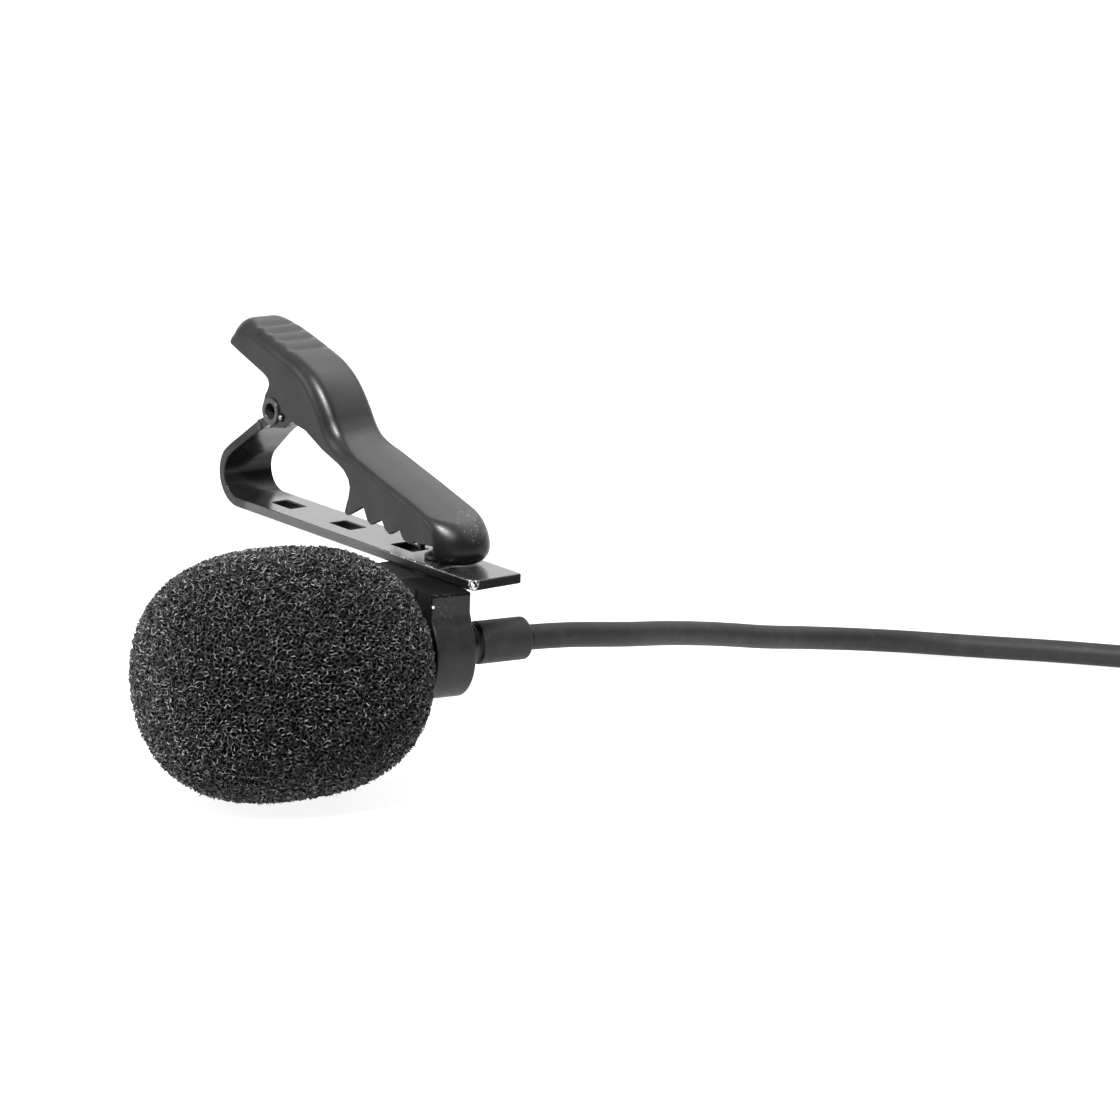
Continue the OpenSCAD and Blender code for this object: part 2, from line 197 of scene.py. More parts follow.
def clip_to_world(p):
    s, h, v = p[:, 0] - RIVET_S, p[:, 1], p[:, 2] - LEAF_W / 2
    sn, cs = math.sin(CLIP_TURN), math.cos(CLIP_TURN)
    x = FACE_X + RIVET[0] - sn * s + cs * v
    y = AXIS_Y + RIVET[1] + cs * s + sn * v
    z = AXIS_Z + ZT + h
    return np.stack([x, y, z], 1) * MM


def clip_dir(n):
    sn, cs = math.sin(CLIP_TURN), math.cos(CLIP_TURN)
    return np.stack([-sn * n[:, 0] + cs * n[:, 2], cs * n[:, 0] + sn * n[:, 2], n[:, 1]], 1)


def mic_to_world(p):
    return (np.asarray(p, float) + np.array([FACE_X, AXIS_Y, AXIS_Z])) * MM


# ------------------------------------------------------------------ distance fields
def poly_sd(x, y, poly):
    """Signed distance to a closed outline, negative inside."""
    p = np.asarray(poly, np.float32)
    q = np.roll(p, -1, axis=0)
    x, y = np.broadcast_arrays(x, y)
    best = np.full(x.shape, 1e9, np.float32)
    odd = np.zeros(x.shape, bool)
    for (ax, ay), (bx, by) in zip(p, q):
        ex, ey = bx - ax, by - ay
        wx, wy = x - ax, y - ay
        t = np.clip((wx * ex + wy * ey) / max(ex * ex + ey * ey, 1e-12), 0, 1)
        best = np.minimum(best, (wx - ex * t) ** 2 + (wy - ey * t) ** 2)
        if ay != by:
            cross = ((ay > y) != (by > y)) & (x < (bx - ax) * (y - ay) / (by - ay) + ax)
            odd ^= cross
    d = np.sqrt(best)
    return np.where(odd, -d, d)


def both(a, b, r):
    """Intersection of two solids with its edge rounded to radius r."""
    return np.minimum(np.maximum(a + r, b + r), 0) + np.hypot(np.maximum(a + r, 0), np.maximum(b + r, 0)) - r


def either(a, b, r):
    return -both(-a, -b, r)


def smooth_line(points, per, closed=False):
    """Catmull-Rom through points (centripetal enough for outlines that are evenly spaced)."""
    p = np.asarray(points, float)
    out = []
    n = len(p)
    for i in range(n if closed else n - 1):
        a = p[(i - 1) % n] if closed or i else 2 * p[0] - p[1]
        b, c = p[i], p[(i + 1) % n]
        d = p[(i + 2) % n] if closed or i + 2 < n else 2 * p[-1] - p[-2]
        for k in range(per):
            t = k / per
            out.append(
                0.5 * ((2 * b) + (c - a) * t + (2 * a - 5 * b + 4 * c - d) * t * t + (3 * b - a - 3 * c + d) * t**3)
            )
    if not closed:
        out.append(p[-1])
    return np.array(out)


def surface_nets(field, low, h):
    """Closed surface where the field crosses zero, on a grid of spacing h whose first point is low."""
    nx, ny, nz = field.shape
    cells = (nx - 1, ny - 1, nz - 1)
    total = cells[0] * cells[1] * cells[2]
    sums = np.zeros((total, 3))
    count = np.zeros(total)
    quads = []
    inside = field < 0
    strides = np.array([cells[1] * cells[2], cells[2], 1])
    for axis in range(3):
        u, v = (axis + 1) % 3, (axis + 2) % 3
        sl0 = [slice(None)] * 3
        sl1 = [slice(None)] * 3
        sl0[axis], sl1[axis] = slice(0, -1), slice(1, None)
        a, b = inside[tuple(sl0)], inside[tuple(sl1)]
        idx = np.argwhere(a != b)
        if not len(idx):
            continue
        lim = [field.shape[0], field.shape[1], field.shape[2]]
        ok = (idx[:, u] > 0) & (idx[:, v] > 0) & (idx[:, u] < lim[u] - 1) & (idx[:, v] < lim[v] - 1)
        idx = idx[ok]
        nxt = idx.copy()
        nxt[:, axis] += 1
        fa = field[tuple(idx.T)].astype(float)
        fb = field[tuple(nxt.T)].astype(float)
        t = fa / (fa - fb)
        place = idx.astype(float)
        place[:, axis] += t
        ids = []
        for du, dv in ((0, 0), (1, 0), (1, 1), (0, 1)):
            c = idx.copy()
            c[:, u] -= du
            c[:, v] -= dv
            k = c @ strides
            ids.append(k)
            for q in range(3):
                sums[:, q] += np.bincount(k, weights=place[:, q], minlength=total)
            count += np.bincount(k, minlength=total)
        quad = np.stack(ids, 1)
        flip = fa < 0
        quad[~flip] = quad[~flip][:, ::-1]
        quads.append(quad)
    quads = np.concatenate(quads)
    used, inverse = np.unique(quads, return_inverse=True)
    verts = sums[used] / count[used][:, None]
    return np.asarray(low) + verts * h, inverse.reshape(-1, 4)


def solid_from(name, f, low, high, h, to_world, dir_world, ratio=0.35, steps=2, blocks=None):
    """Mesh of the solid f(p) < 0, refined onto its surface, thinned, with its true normals."""
    low, high = np.asarray(low, float), np.asarray(high, float)
    axes = [np.arange(low[k], high[k] + h, h, dtype=np.float32) for k in range(3)]
    field = f(axes[0][:, None, None], axes[1][None, :, None], axes[2][None, None, :])
    verts, quads = surface_nets(field, [axes[k][0] for k in range(3)], h)

    def at(p):
        return f(p[:, 0].astype(np.float32), p[:, 1].astype(np.float32), p[:, 2].astype(np.float32)).astype(float)

    def gradient(p, e=0.02):
        g = np.stack([at(p + d) - at(p - d) for d in np.eye(3) * e], 1) / (2 * e)
        n = np.linalg.norm(g, axis=1, keepdims=True)
        return g / np.maximum(n, 1e-6), n[:, 0]

    def settle(p, times):
        for _ in range(times):
            g, n = gradient(p)
            d = np.clip(at(p) / np.maximum(n, 0.3), -0.5 * h, 0.5 * h)
            p = p - g * d[:, None]
        return p

    verts = settle(verts, steps)
    o = new_mesh(name, verts, quads)
    if ratio < 1:
        mod = o.modifiers.new("thin", "DECIMATE")
        mod.ratio = ratio
        dg = bpy.context.evaluated_depsgraph_get()
        me = bpy.data.meshes.new_from_object(o.evaluated_get(dg))
        o.modifiers.clear()
        old, o.data = o.data, me
        bpy.data.meshes.remove(old)
    co = np.zeros(len(o.data.vertices) * 3, np.float32)
    o.data.vertices.foreach_get("co", co)
    p = settle(co.reshape(-1, 3).astype(float), 1)
    n = dir_world(gradient(p)[0])
    o.data.vertices.foreach_set("co", to_world(p).astype(np.float32).ravel())
    o.data.update()
    o.data.polygons.foreach_set("use_smooth", np.ones(len(o.data.polygons), bool))
    o.data.normals_split_custom_set_from_vertices([tuple(x) for x in n])
    return o


def smoothstep(a, b, x):
    t = np.clip((x - a) / (b - a), 0, 1)
    return t * t * (3 - 2 * t)


# ------------------------------------------------------------------ materials
def material(name, colour, rough, metallic=0.0, spec=0.5, coat=0.0, coat_rough=0.1):
    m = bpy.data.materials.new(name)
    m.use_nodes = True
    b = m.node_tree.nodes["Principled BSDF"]
    b.inputs["Base Color"].default_value = (*colour, 1)
    b.inputs["Roughness"].default_value = rough
    b.inputs["Metallic"].default_value = metallic
    b.inputs["Specular IOR Level"].default_value = spec
    b.inputs["Coat Weight"].default_value = coat
    b.inputs["Coat Roughness"].default_value = coat_rough
    return m


class Nodes:
    """Small helper for procedural materials. Positions are millimetres in the row frame."""

    def __init__(self, m):
        self.nt = m.node_tree
        self.b = self.nt.nodes["Principled BSDF"]
        geo = self.nt.nodes.new("ShaderNodeTexCoord")
        scale = self.nt.nodes.new("ShaderNodeVectorMath")
        scale.operation = "SCALE"
        scale.inputs["Scale"].default_value = 1000.0
        self.nt.links.new(geo.outputs["Object"], scale.inputs[0])
        self.mm = scale.outputs[0]

    def node(self, kind, **inputs):
        n = self.nt.nodes.new(kind)
        for k, v in inputs.items():
            k = k.replace("_", " ")
            if isinstance(v, bpy.types.NodeSocket):
                self.nt.links.new(v, n.inputs[k])
            else:
                n.inputs[k].default_value = v
        return n

    def noise(self, scale, detail=2.0, rough=0.5, vector=None):
        return self.node("ShaderNodeTexNoise", Vector=vector or self.mm, Scale=scale, Detail=detail, Roughness=rough).outputs["Fac"]

    def voronoi(self, scale, feature="F1", vector=None, randomness=1.0):
        n = self.node("ShaderNodeTexVoronoi", Vector=vector or self.mm, Scale=scale, Randomness=randomness)
        n.feature = feature
        return n.outputs["Distance"]

    def math(self, op, a, b=0.0, c=None, clamp=False):
        n = self.nt.nodes.new("ShaderNodeMath")
        n.operation = op
        n.use_clamp = clamp
        for i, x in enumerate((a, b) if c is None else (a, b, c)):
            if isinstance(x, bpy.types.NodeSocket):
                self.nt.links.new(x, n.inputs[i])
            else:
                n.inputs[i].default_value = x
        return n.outputs[0]

    def ramp(self, fac, stops):
        n = self.nt.nodes.new("ShaderNodeValToRGB")
        self.nt.links.new(fac, n.inputs[0])
        e = n.color_ramp.elements
        while len(e) < len(stops):
            e.new(0.5)
        for el, (pos, col) in zip(e, stops):
            el.position = pos
            el.color = (col, col, col, 1) if not isinstance(col, tuple) else (*col, 1)
        return n.outputs[0]

    def mix(self, fac, a, b):
        n = self.nt.nodes.new("ShaderNodeMix")
        n.data_type = "RGBA"
        ins = [i for i in n.inputs if i.enabled]
        for sock, x in zip(ins, (fac, a, b)):
            if isinstance(x, bpy.types.NodeSocket):
                self.nt.links.new(x, sock)
            elif isinstance(x, tuple):
                sock.default_value = (*x, 1)
            else:
                sock.default_value = x
        return [o for o in n.outputs if o.enabled][0]

    def span(self, value, low, high):
        """0 below low, 1 above high."""
        n = self.nt.nodes.new("ShaderNodeMapRange")
        n.interpolation_type = "SMOOTHSTEP"
        self.nt.links.new(value, n.inputs["Value"])
        n.inputs["From Min"].default_value = low
        n.inputs["From Max"].default_value = high
        return n.outputs["Result"]

    def near(self, at, radius, soft):
        """1 within radius of the point at, falling to 0 over soft."""
        n = self.nt.nodes.new("ShaderNodeVectorMath")
        n.operation = "DISTANCE"
        self.nt.links.new(self.mm, n.inputs[0])
        n.inputs[1].default_value = at
        return self.math("SUBTRACT", 1.0, self.span(n.outputs["Value"], radius, radius + soft))

    def bump(self, height, strength, distance_mm, normal=None):
        n = self.node("ShaderNodeBump", Strength=strength, Distance=distance_mm * MM, Height=height)
        if normal is not None:
            self.nt.links.new(normal, n.inputs["Normal"])
        return n.outputs["Normal"]

    def colour(self, s):
        self.nt.links.new(s, self.b.inputs["Base Color"])

    def rough(self, s):
        self.nt.links.new(s, self.b.inputs["Roughness"])

    def normal(self, s):
        self.nt.links.new(s, self.b.inputs["Normal"])

    def metal(self, s):
        self.nt.links.new(s, self.b.inputs["Metallic"])


def satin_paint(name, base=0.022, rough=0.36, extra=None, coat=0.0, peel=1.0, spec=0.4):
    """Satin black enamel on pressed steel: fine orange peel, faint cloudiness, a little dust."""
    m = material(name, (base, base, base * 1.02), rough, spec=spec, coat=coat, coat_rough=0.22)
    n = Nodes(m)
    cloud = n.noise(0.35, 3.0)
    fine = n.noise(9.0, 3.0, 0.6)
    colour = n.mix(n.span(cloud, 0.35, 0.7), (base * 0.85,) * 3, (base * 1.35, base * 1.35, base * 1.38))
    colour = n.mix(n.math("MULTIPLY", n.span(fine, 0.62, 0.75), 0.25), colour, (base * 3, base * 3, base * 3))
    rough_s = n.math("ADD", rough - 0.05, n.math("MULTIPLY", n.noise(2.2, 3.0), 0.12))
    metal = None
    if extra is not None:
        colour, rough_s, metal = extra(n, colour, rough_s)
    n.colour(colour)
    n.rough(rough_s)
    if metal is not None:
        n.metal(metal)
    n.normal(n.bump(n.noise(5.0, 2.0), 0.25 * peel, 0.02, n.bump(n.noise(22.0, 2.0), 0.3 * peel, 0.006)))
    return m


def soft_rubber(name, base=0.028, rough=0.55, dust=None):
    m = material(name, (base, base, base * 1.03), rough, spec=0.28)
    n = Nodes(m)
    patch = n.span(n.noise(0.55, 4.0, 0.6), 0.45, 0.75)
    speck = n.span(n.noise(3.4, 5.0, 0.7), 0.62, 0.72)
    colour = n.mix(patch, (base,) * 3, (base * 1.5, base * 1.5, base * 1.52))
    grime = n.math("MULTIPLY", speck, n.math("ADD", 0.15, n.math("MULTIPLY", patch, 0.55)))
    colour = n.mix(grime, colour, (0.13, 0.13, 0.13) if dust is None else dust)
    n.colour(colour)
    n.rough(n.math("ADD", rough - 0.04, n.math("MULTIPLY", n.noise(1.7, 3.0), 0.16)))
    n.normal(n.bump(n.noise(14.0, 3.0), 0.35, 0.02))
    return m


def moulded(name, base=0.03, rough=0.5, seam=None):
    m = material(name, (base, base, base * 1.03), rough, spec=0.3)
    n = Nodes(m)
    grain = n.noise(16.0, 3.0, 0.6)
    cloud = n.span(n.noise(0.8, 3.0), 0.3, 0.75)
    colour = n.mix(cloud, (base * 0.88,) * 3, (base * 1.25, base * 1.25, base * 1.27))
    speck = n.span(n.noise(7.5, 4.0, 0.7), 0.7, 0.76)
    colour = n.mix(n.math("MULTIPLY", speck, 0.35), colour, (0.2, 0.2, 0.2))
    normal = n.bump(grain, 0.35, 0.015)
    if seam is not None:
        sep = n.node("ShaderNodeSeparateXYZ", Vector=n.mm)
        line = n.math("ABSOLUTE", n.math("SUBTRACT", sep.outputs["X"], seam))
        groove = n.span(line, 0.0, 0.12)
        normal = n.bump(groove, 0.5, 0.03, normal)
        colour = n.mix(n.math("SUBTRACT", 1.0, groove), colour, (base * 1.2, base * 1.2, base * 1.2))
    if seam is not None:
        # painted shade under the leaf and on the face against the windscreen: darker colour and less specular there;
        # scuffs on the near corner
        under = n.span(sep.outputs["Z"], AXIS_Z + 6.02, AXIS_Z + 6.2)
        inner = n.math("SUBTRACT", 1.0, n.span(sep.outputs["X"], FACE_X - 4.36, FACE_X - 4.2))
        painted_shade = n.math("MULTIPLY", n.math("MAXIMUM", under, inner), 0.85)
        colour = n.mix(painted_shade, colour, (0.003, 0.003, 0.003))
        n.nt.links.new(n.math("MULTIPLY", n.math("SUBTRACT", 1.0, painted_shade), 0.3), n.b.inputs["Specular IOR Level"])
        scuff = n.math("MULTIPLY", n.near(tuple(SCUFF), 1.1, 1.2), n.span(n.noise(2.6, 5.0, 0.8), 0.56, 0.66))
        colour = n.mix(n.math("MULTIPLY", scuff, 0.35), colour, (0.22, 0.22, 0.22))
        fleck = n.near(tuple(FLECK), 0.1, 0.08)
        colour = n.mix(fleck, colour, (0.85, 0.85, 0.84))
    n.colour(colour)
    n.rough(n.math("ADD", rough - 0.05, n.math("MULTIPLY", cloud, 0.1)))
    n.normal(normal)
    return m


def plain_metal(name, colour, rough, brushed=(1.0, 14.0, 14.0)):
    m = material(name, colour, rough, metallic=1.0)
    n = Nodes(m)
    map_ = n.node("ShaderNodeMapping", Vector=n.mm)
    map_.inputs["Scale"].default_value = brushed
    streak = n.noise(1.0, 4.0, 0.6, map_.outputs[0])
    n.colour(n.mix(streak, tuple(c * 0.8 for c in colour), tuple(min(c * 1.1, 1) for c in colour)))
    n.rough(n.math("ADD", rough - 0.06, n.math("MULTIPLY", streak, 0.14)))
    n.normal(n.bump(streak, 0.2, 0.01))
    return m


def woven(name, base, pitch):
    m = material(name, (base,) * 3, 0.85, spec=0.2)
    n = Nodes(m)
    sep = n.node("ShaderNodeSeparateXYZ", Vector=n.mm)
    k = 2 * math.pi / pitch
    a = n.math("SINE", n.math("MULTIPLY", n.math("ADD", sep.outputs["X"], sep.outputs["Y"]), k * 0.7))
    b = n.math("SINE", n.math("MULTIPLY", n.math("SUBTRACT", sep.outputs["Y"], sep.outputs["X"]), k * 0.7))
    c = n.math("SINE", n.math("MULTIPLY", sep.outputs["Z"], k))
    weave = n.math("ADD", n.math("MULTIPLY", a, b), n.math("MULTIPLY", c, 0.6))
    n.colour(n.mix(n.span(weave, -0.8, 1.2), (base * 0.5,) * 3, (base * 1.7,) * 3))
    n.rough(n.math("ADD", 0.75, n.math("MULTIPLY", n.noise(3.0), 0.2)))
    n.normal(n.bump(weave, 0.7, 0.12))
    return m


def chips_and_painted_light(n, colour, rough):
    """Bare metal where the leaf's tip is knocked, rub marks round the jaw's nose, dust; painted shade on the near wall,
    the loop, the underside, the slots and the tip's end; a painted highlight along the near top edge.
    """
    corner = n.near(tuple(CHIP), 0.35, 0.55)
    grit = n.noise(3.1, 4.0, 0.7)
    bare = n.math("MULTIPLY", corner, n.span(grit, 0.46, 0.54))
    rub = n.math("MULTIPLY", n.near(tuple(NOSE_FOOT), 2.9, 1.6), n.span(n.noise(4.5, 5.0, 0.75), 0.58, 0.66))
    dust = n.math("MULTIPLY", n.span(n.noise(6.0, 4.0, 0.75), 0.69, 0.73), 0.7)
    colour = n.mix(dust, colour, (0.25, 0.25, 0.25))
    colour = n.mix(n.math("MULTIPLY", rub, 0.55), colour, (0.35, 0.35, 0.34))
    # distance from the near side wall of the strip, and how far along it, in the clip's own frame
    sn, cs = math.sin(CLIP_TURN), math.cos(CLIP_TURN)
    base = clip_to_world(np.array([[0.0, 0.0, 0.0]]))[0] / MM
    sep = n.node("ShaderNodeSeparateXYZ", Vector=n.mm)
    dx, dy = n.math("SUBTRACT", sep.outputs["X"], float(base[0])), n.math("SUBTRACT", sep.outputs["Y"], float(base[1]))
    v = n.math("ADD", n.math("MULTIPLY", dx, cs), n.math("MULTIPLY", dy, sn))
    along = n.math("ADD", n.math("MULTIPLY", dx, -sn), n.math("MULTIPLY", dy, cs))
    h = n.math("SUBTRACT", sep.outputs["Z"], float(base[2]))
    # painted shade: the near side wall (most towards the front), the loop, the underside, the slot walls and the tip's
    # end face are darkened and lose clear coat and specular
    wall = n.math("SUBTRACT", 1.0, n.span(v, 0.02, 0.12))
    below = n.math("SUBTRACT", 1.0, n.span(h, -0.22, -0.06))
    front = n.math("SUBTRACT", 1.0, n.span(along, 9.0, 20.0))
    painted_shade = n.math("MULTIPLY", n.math("MULTIPLY", wall, below), n.math("ADD", 0.35, n.math("MULTIPLY", front, 0.65)))
    painted_shade = n.math("MAXIMUM", painted_shade, n.math("MULTIPLY", n.span(along, 38.0, 40.5), 0.8))
    painted_shade = n.math("MAXIMUM", painted_shade, n.math("MULTIPLY", n.span(h, 2.5, 4.0), 0.85))
    under = n.math("MULTIPLY", n.math("SUBTRACT", 1.0, n.span(h, -0.2, -0.1)), n.math("MULTIPLY", n.span(v, 0.15, 0.25), n.math("SUBTRACT", 1.0, n.span(v, 6.0, 6.1))))
    tip = n.math("MULTIPLY", n.math("SUBTRACT", 1.0, n.span(along, 0.05, 0.12)), n.math("SUBTRACT", 1.0, n.span(h, -0.16, -0.06)))
    painted_shade = n.math("MAXIMUM", painted_shade, n.math("MAXIMUM", under, tip))
    colour = n.mix(n.math("MULTIPLY", painted_shade, 0.8), colour, (0.004, 0.004, 0.004))
    # painted highlight: a patchy light line along the near top edge, towards the front
    painted_edge_highlight = n.math("MULTIPLY", n.math("MULTIPLY", n.math("SUBTRACT", 1.0, n.span(n.math("ABSOLUTE", n.math("SUBTRACT", v, 0.03)), 0.05, 0.13)), n.math("SUBTRACT", 1.0, n.span(n.math("ABSOLUTE", n.math("ADD", h, 0.04)), 0.05, 0.12))), n.span(n.noise(1.6, 4.0, 0.7), 0.5, 0.62))
    colour = n.mix(n.math("MULTIPLY", painted_edge_highlight, n.math("MULTIPLY", front, 0.7)), colour, (0.45, 0.45, 0.44))
    colour = n.mix(bare, colour, (0.85, 0.85, 0.84))
    clear = n.math("SUBTRACT", 1.0, n.math("MULTIPLY", painted_shade, 0.92))
    n.nt.links.new(clear, n.b.inputs["Coat Weight"])
    n.nt.links.new(n.math("MULTIPLY", clear, 0.5), n.b.inputs["Specular IOR Level"])
    return colour, rough, None


def top_light_and_nose_dust(n, colour, rough):
    """Painted light: faces that look up are greyer than the walls and the folds, in patches; dust flecks on the nose's
    top and round its foot.
    """
    way = n.node("ShaderNodeSeparateXYZ", Vector=n.node("ShaderNodeTexCoord").outputs["Normal"])
    across = n.math("ADD", n.math("MULTIPLY", way.outputs["X"], math.cos(CLIP_TURN)), n.math("MULTIPLY", way.outputs["Y"], math.sin(CLIP_TURN)))
    flat = n.math("SUBTRACT", 1.0, n.span(n.math("ABSOLUTE", across), 0.1, 0.5))
    patchy = n.math("ADD", 0.8, n.math("MULTIPLY", n.noise(0.6, 4.0, 0.6), 0.4))
    # painted light: upward-looking faces made greyer than the walls and the folds
    painted_top_light = n.math("MULTIPLY", n.math("MULTIPLY", n.span(way.outputs["Z"], 0.15, 1.0), flat), patchy)
    colour = n.mix(painted_top_light, colour, (0.05, 0.05, 0.051))
    top = n.near(tuple(NOSE_TOP), 1.5, 1.7)
    flecks = n.math("MULTIPLY", top, n.span(n.noise(4.2, 5.0, 0.8), 0.60, 0.66))
    rim = n.math("MULTIPLY", n.near(tuple(NOSE_FOOT), 2.6, 1.4), n.span(n.noise(3.6, 4.0, 0.8), 0.63, 0.68))
    low = n.node("ShaderNodeSeparateXYZ", Vector=n.mm).outputs["Z"]
    rim = n.math("MULTIPLY", rim, n.math("SUBTRACT", 1.0, n.span(low, 21.2, 22.0)))
    colour = n.mix(flecks, colour, (0.6, 0.6, 0.6))
    colour = n.mix(rim, colour, (0.4, 0.4, 0.4))
    return colour, rough, None


SCUFF = mic_to_world(np.array([-3.4, -3.5, 5.2])) / MM
FLECK = mic_to_world(np.array([-4.2, -3.55, 5.2])) / MM
CHIP = clip_to_world(np.array([[0.0, -0.35, 0.0]]))[0] / MM
NOSE_FOOT = clip_to_world(np.array([[5.6, 0.0, 2.6]]))[0] / MM
NOSE_TOP = clip_to_world(np.array([[5.3, 4.1, 4.4]]))[0] / MM


# ------------------------------------------------------------------ jaw
JAW_TOP = [
    (9.6, 5.75), (13, 6.75), (16.4, 7.7), (19.5, 8.6), (21.3, 9.15), (22.5, 9.65), (23.5, 10.3), (24.4, 11.3), (25.2, 12.45), (26, 13.5),
    (26.9, 14.5), (27.8, 15.3), (28.8, 16), (30.5, 16.85), (32.4, 17.45), (36.1, 18.5), (39.8, 19.45), (41.2, 19.68), (42.2, 19.4),
    (42.8, 18.9), (43.1, 18.1), (43.15, 16.9),
]
JAW_LOW = [
    (50, 19.3), (43.15, 16.9), (36.3, 14.5), (35.6, 14.1), (35.35, 13.6), (35.6, 13), (36.05, 12.3), (36.3, 11.5), (36.35, 10.8),
    (36.1, 10), (35.5, 9.4), (34.7, 9.15), (33.6, 9.2), (32.4, 9.4), (31.6, 10), (31, 10.3), (30.3, 10.15), (28.6, 9.85), (27.4, 9.25),
    (25.6, 8.4), (23.8, 7.8), (22.7, 7.45), (21.6, 6.9), (20.9, 6.2), (20.6, 5.4), (20.8, 4.3), (21.15, 3.45), (21.4, 2.6),
    (20.95, 2.35), (18.2, 3.85), (17.5, 2.6), (16.9, 2.2), (15.05, 3.15), (14.35, 2.2), (13.65, 1.9), (12, 2.75), (11.3, 1.85),
    (10.25, 1.6), (9.1, 2.1), (8.45, 1.2), (8.4, 2), (6.45, 2.2), (6.35, 0.12), (-2, 0.12),
]


def jaw():
    top = smooth_line(JAW_TOP, 4)
    head = [(-6, 5.75 - 15.6 * 0.3), (4, 5.75 - 5.6 * 0.305)]
    roof = np.concatenate([head, top, [(43.15, -6), (-6, -6)]])
    keep = np.concatenate([JAW_LOW, [(-2, 30), (50, 30)]])
    grooves = [38.9, 37.1, 35.3, 33.2]

    def f(s, h, v):
        a = poly_sd(s, h, roof)
        mid = v - LEAF_W / 2
        for g in grooves:
            a = a + 0.21 * np.exp(-(((s - g - 0.1 * (h - 18)) / 0.42) ** 2)) * (1 - smoothstep(1.3, 3.0, np.abs(mid))) * (h > 14)
        side = np.hypot(np.minimum(s - 3.4 - JAW_W / 2, 0), mid) - JAW_W / 2
        # pressed sheet: the back is slightly crowned and the walls aren't quite flat
        a = a + (0.045 * mid * mid - 0.2) * (1 - smoothstep(25, 33, s))
        side = side + 0.035 * np.sin(0.42 * s + 0.8) * np.cos(0.55 * h - 0.5 * s) + 0.02 * smoothstep(0, 1, (a + 3.5) / 3.5)
        r = 2.0 - 1.5 * smoothstep(4.6, 8.2, s) + 1.0 * smoothstep(19.5, 24.5, s)
        end = smoothstep(38.0, 42.6, s)
        r = r + 0.9 * end * smoothstep(17.2, 18.8, h) - 0.8 * end * (1 - smoothstep(16.8, 18.0, h))
        d = both(a, side, r)
        skin = 0.7 + 0.6 * (1 - smoothstep(0.5, 1.7, h)) * (1 - smoothstep(6.2, 6.4, s))
        foot = both(d, 0.2 - h, 1.65)
        d = np.where(s < 6.4, foot, d)
        shell = np.maximum(d, -skin - d)
        shell = both(shell, poly_sd(s, h, keep), 0.1)
        hole = 1.15 - np.hypot(s - PIVOT[0], h - PIVOT[1])
        hook = np.where(v < 3, 0.45 - np.hypot(s - 32.8, h - 10.5), -1.0)
        return np.maximum(np.maximum(shell, hole), hook)

    o = solid_from("jaw_shell", f, (2.9, -0.3, -0.7), (43.6, 20.3, 6.95), QUALITY["jaw"], clip_to_world, clip_dir, ratio=0.4)
    o.data.materials.append(satin_paint("jaw_paint", 0.008, 0.3, top_light_and_nose_dust, spec=0.22))
    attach(o, "jaw")
    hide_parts("clip_jaw")
    return o


# ------------------------------------------------------------------ leaf
def leaf():
    t = LEAF_T
    c, r = np.array([41.3, 2.5]), 2.5 + t / 2
    line = [(-3, -t / 2), (30, -t / 2), (41.3, -t / 2)]
    line += [tuple(c + r * np.array([math.cos(a), math.sin(a)])) for a in np.radians(np.linspace(-86, 42, 34))]
    tail = smooth_line([line[-1], (42.6, 5.35), (41.3, 6.35), (39.9, 7.4), (38.15, 8.6)], 4)
    line = np.array(line + [tuple(x) for x in tail[1:]])

    def strip(s, h):
        s, h = np.broadcast_arrays(s, h)
        best = np.full(s.shape, 1e9, np.float32)
        for (ax, ay), (bx, by) in zip(line[:-1], line[1:]):
            ex, ey = bx - ax, by - ay
            q = np.clip(((s - ax) * ex + (h - ay) * ey) / (ex * ex + ey * ey), 0, 1)
            best = np.minimum(best, np.hypot(s - ax - ex * q, h - ay - ey * q))
        return best - t / 2

    lug = [(38.4, 9.05), (36.6, 10.05), (36.1, 10.3), (35.3, 9.5), (36.4, 9), (37.9, 8.15)]

    def f(s, h, v):
        mid = v - LEAF_W / 2
        half = 3.125 - 0.5 * smoothstep(4.5, 8.0, h)
        plan = both(np.abs(mid) - half, -s, 0.3)
        d = both(strip(s, h), plan, 0.13)
        ears = np.minimum(poly_sd(s, h, lug), np.hypot(s - PIVOT[0], h - PIVOT[1]) - 1.6)
        ears = both(ears, np.abs(np.abs(mid) - 2.15) - 0.425, 0.08)
        d = either(d, ears, 0.25)
        for x in (14.5, 25.3, 36.1):
            hole = both(np.abs(s - x) - 1.85, np.abs(mid) - 1.05, 0.12)
            hole = np.where(np.abs(h) < 3, hole, 1.0)
            d = both(d, -hole, 0.1)
        rivet = np.where(np.abs(h) < 3, 1.15 - np.hypot(s - RIVET_S, mid), -1.0)
        pin = 1.2 - np.hypot(s - PIVOT[0], h - PIVOT[1])
        return np.maximum(np.maximum(d, rivet), pin)

    o = solid_from("leaf_strip", f, (-0.5, -1.5, -0.3), (45.4, 12.9, 6.6), QUALITY["leaf"], clip_to_world, clip_dir, ratio=0.3)
    o.data.materials.append(satin_paint("leaf_paint", 0.016, 0.24, chips_and_painted_light, coat=1.0, peel=0.3))
    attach(o, "clip")
    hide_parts("clip_leaf")
    return o


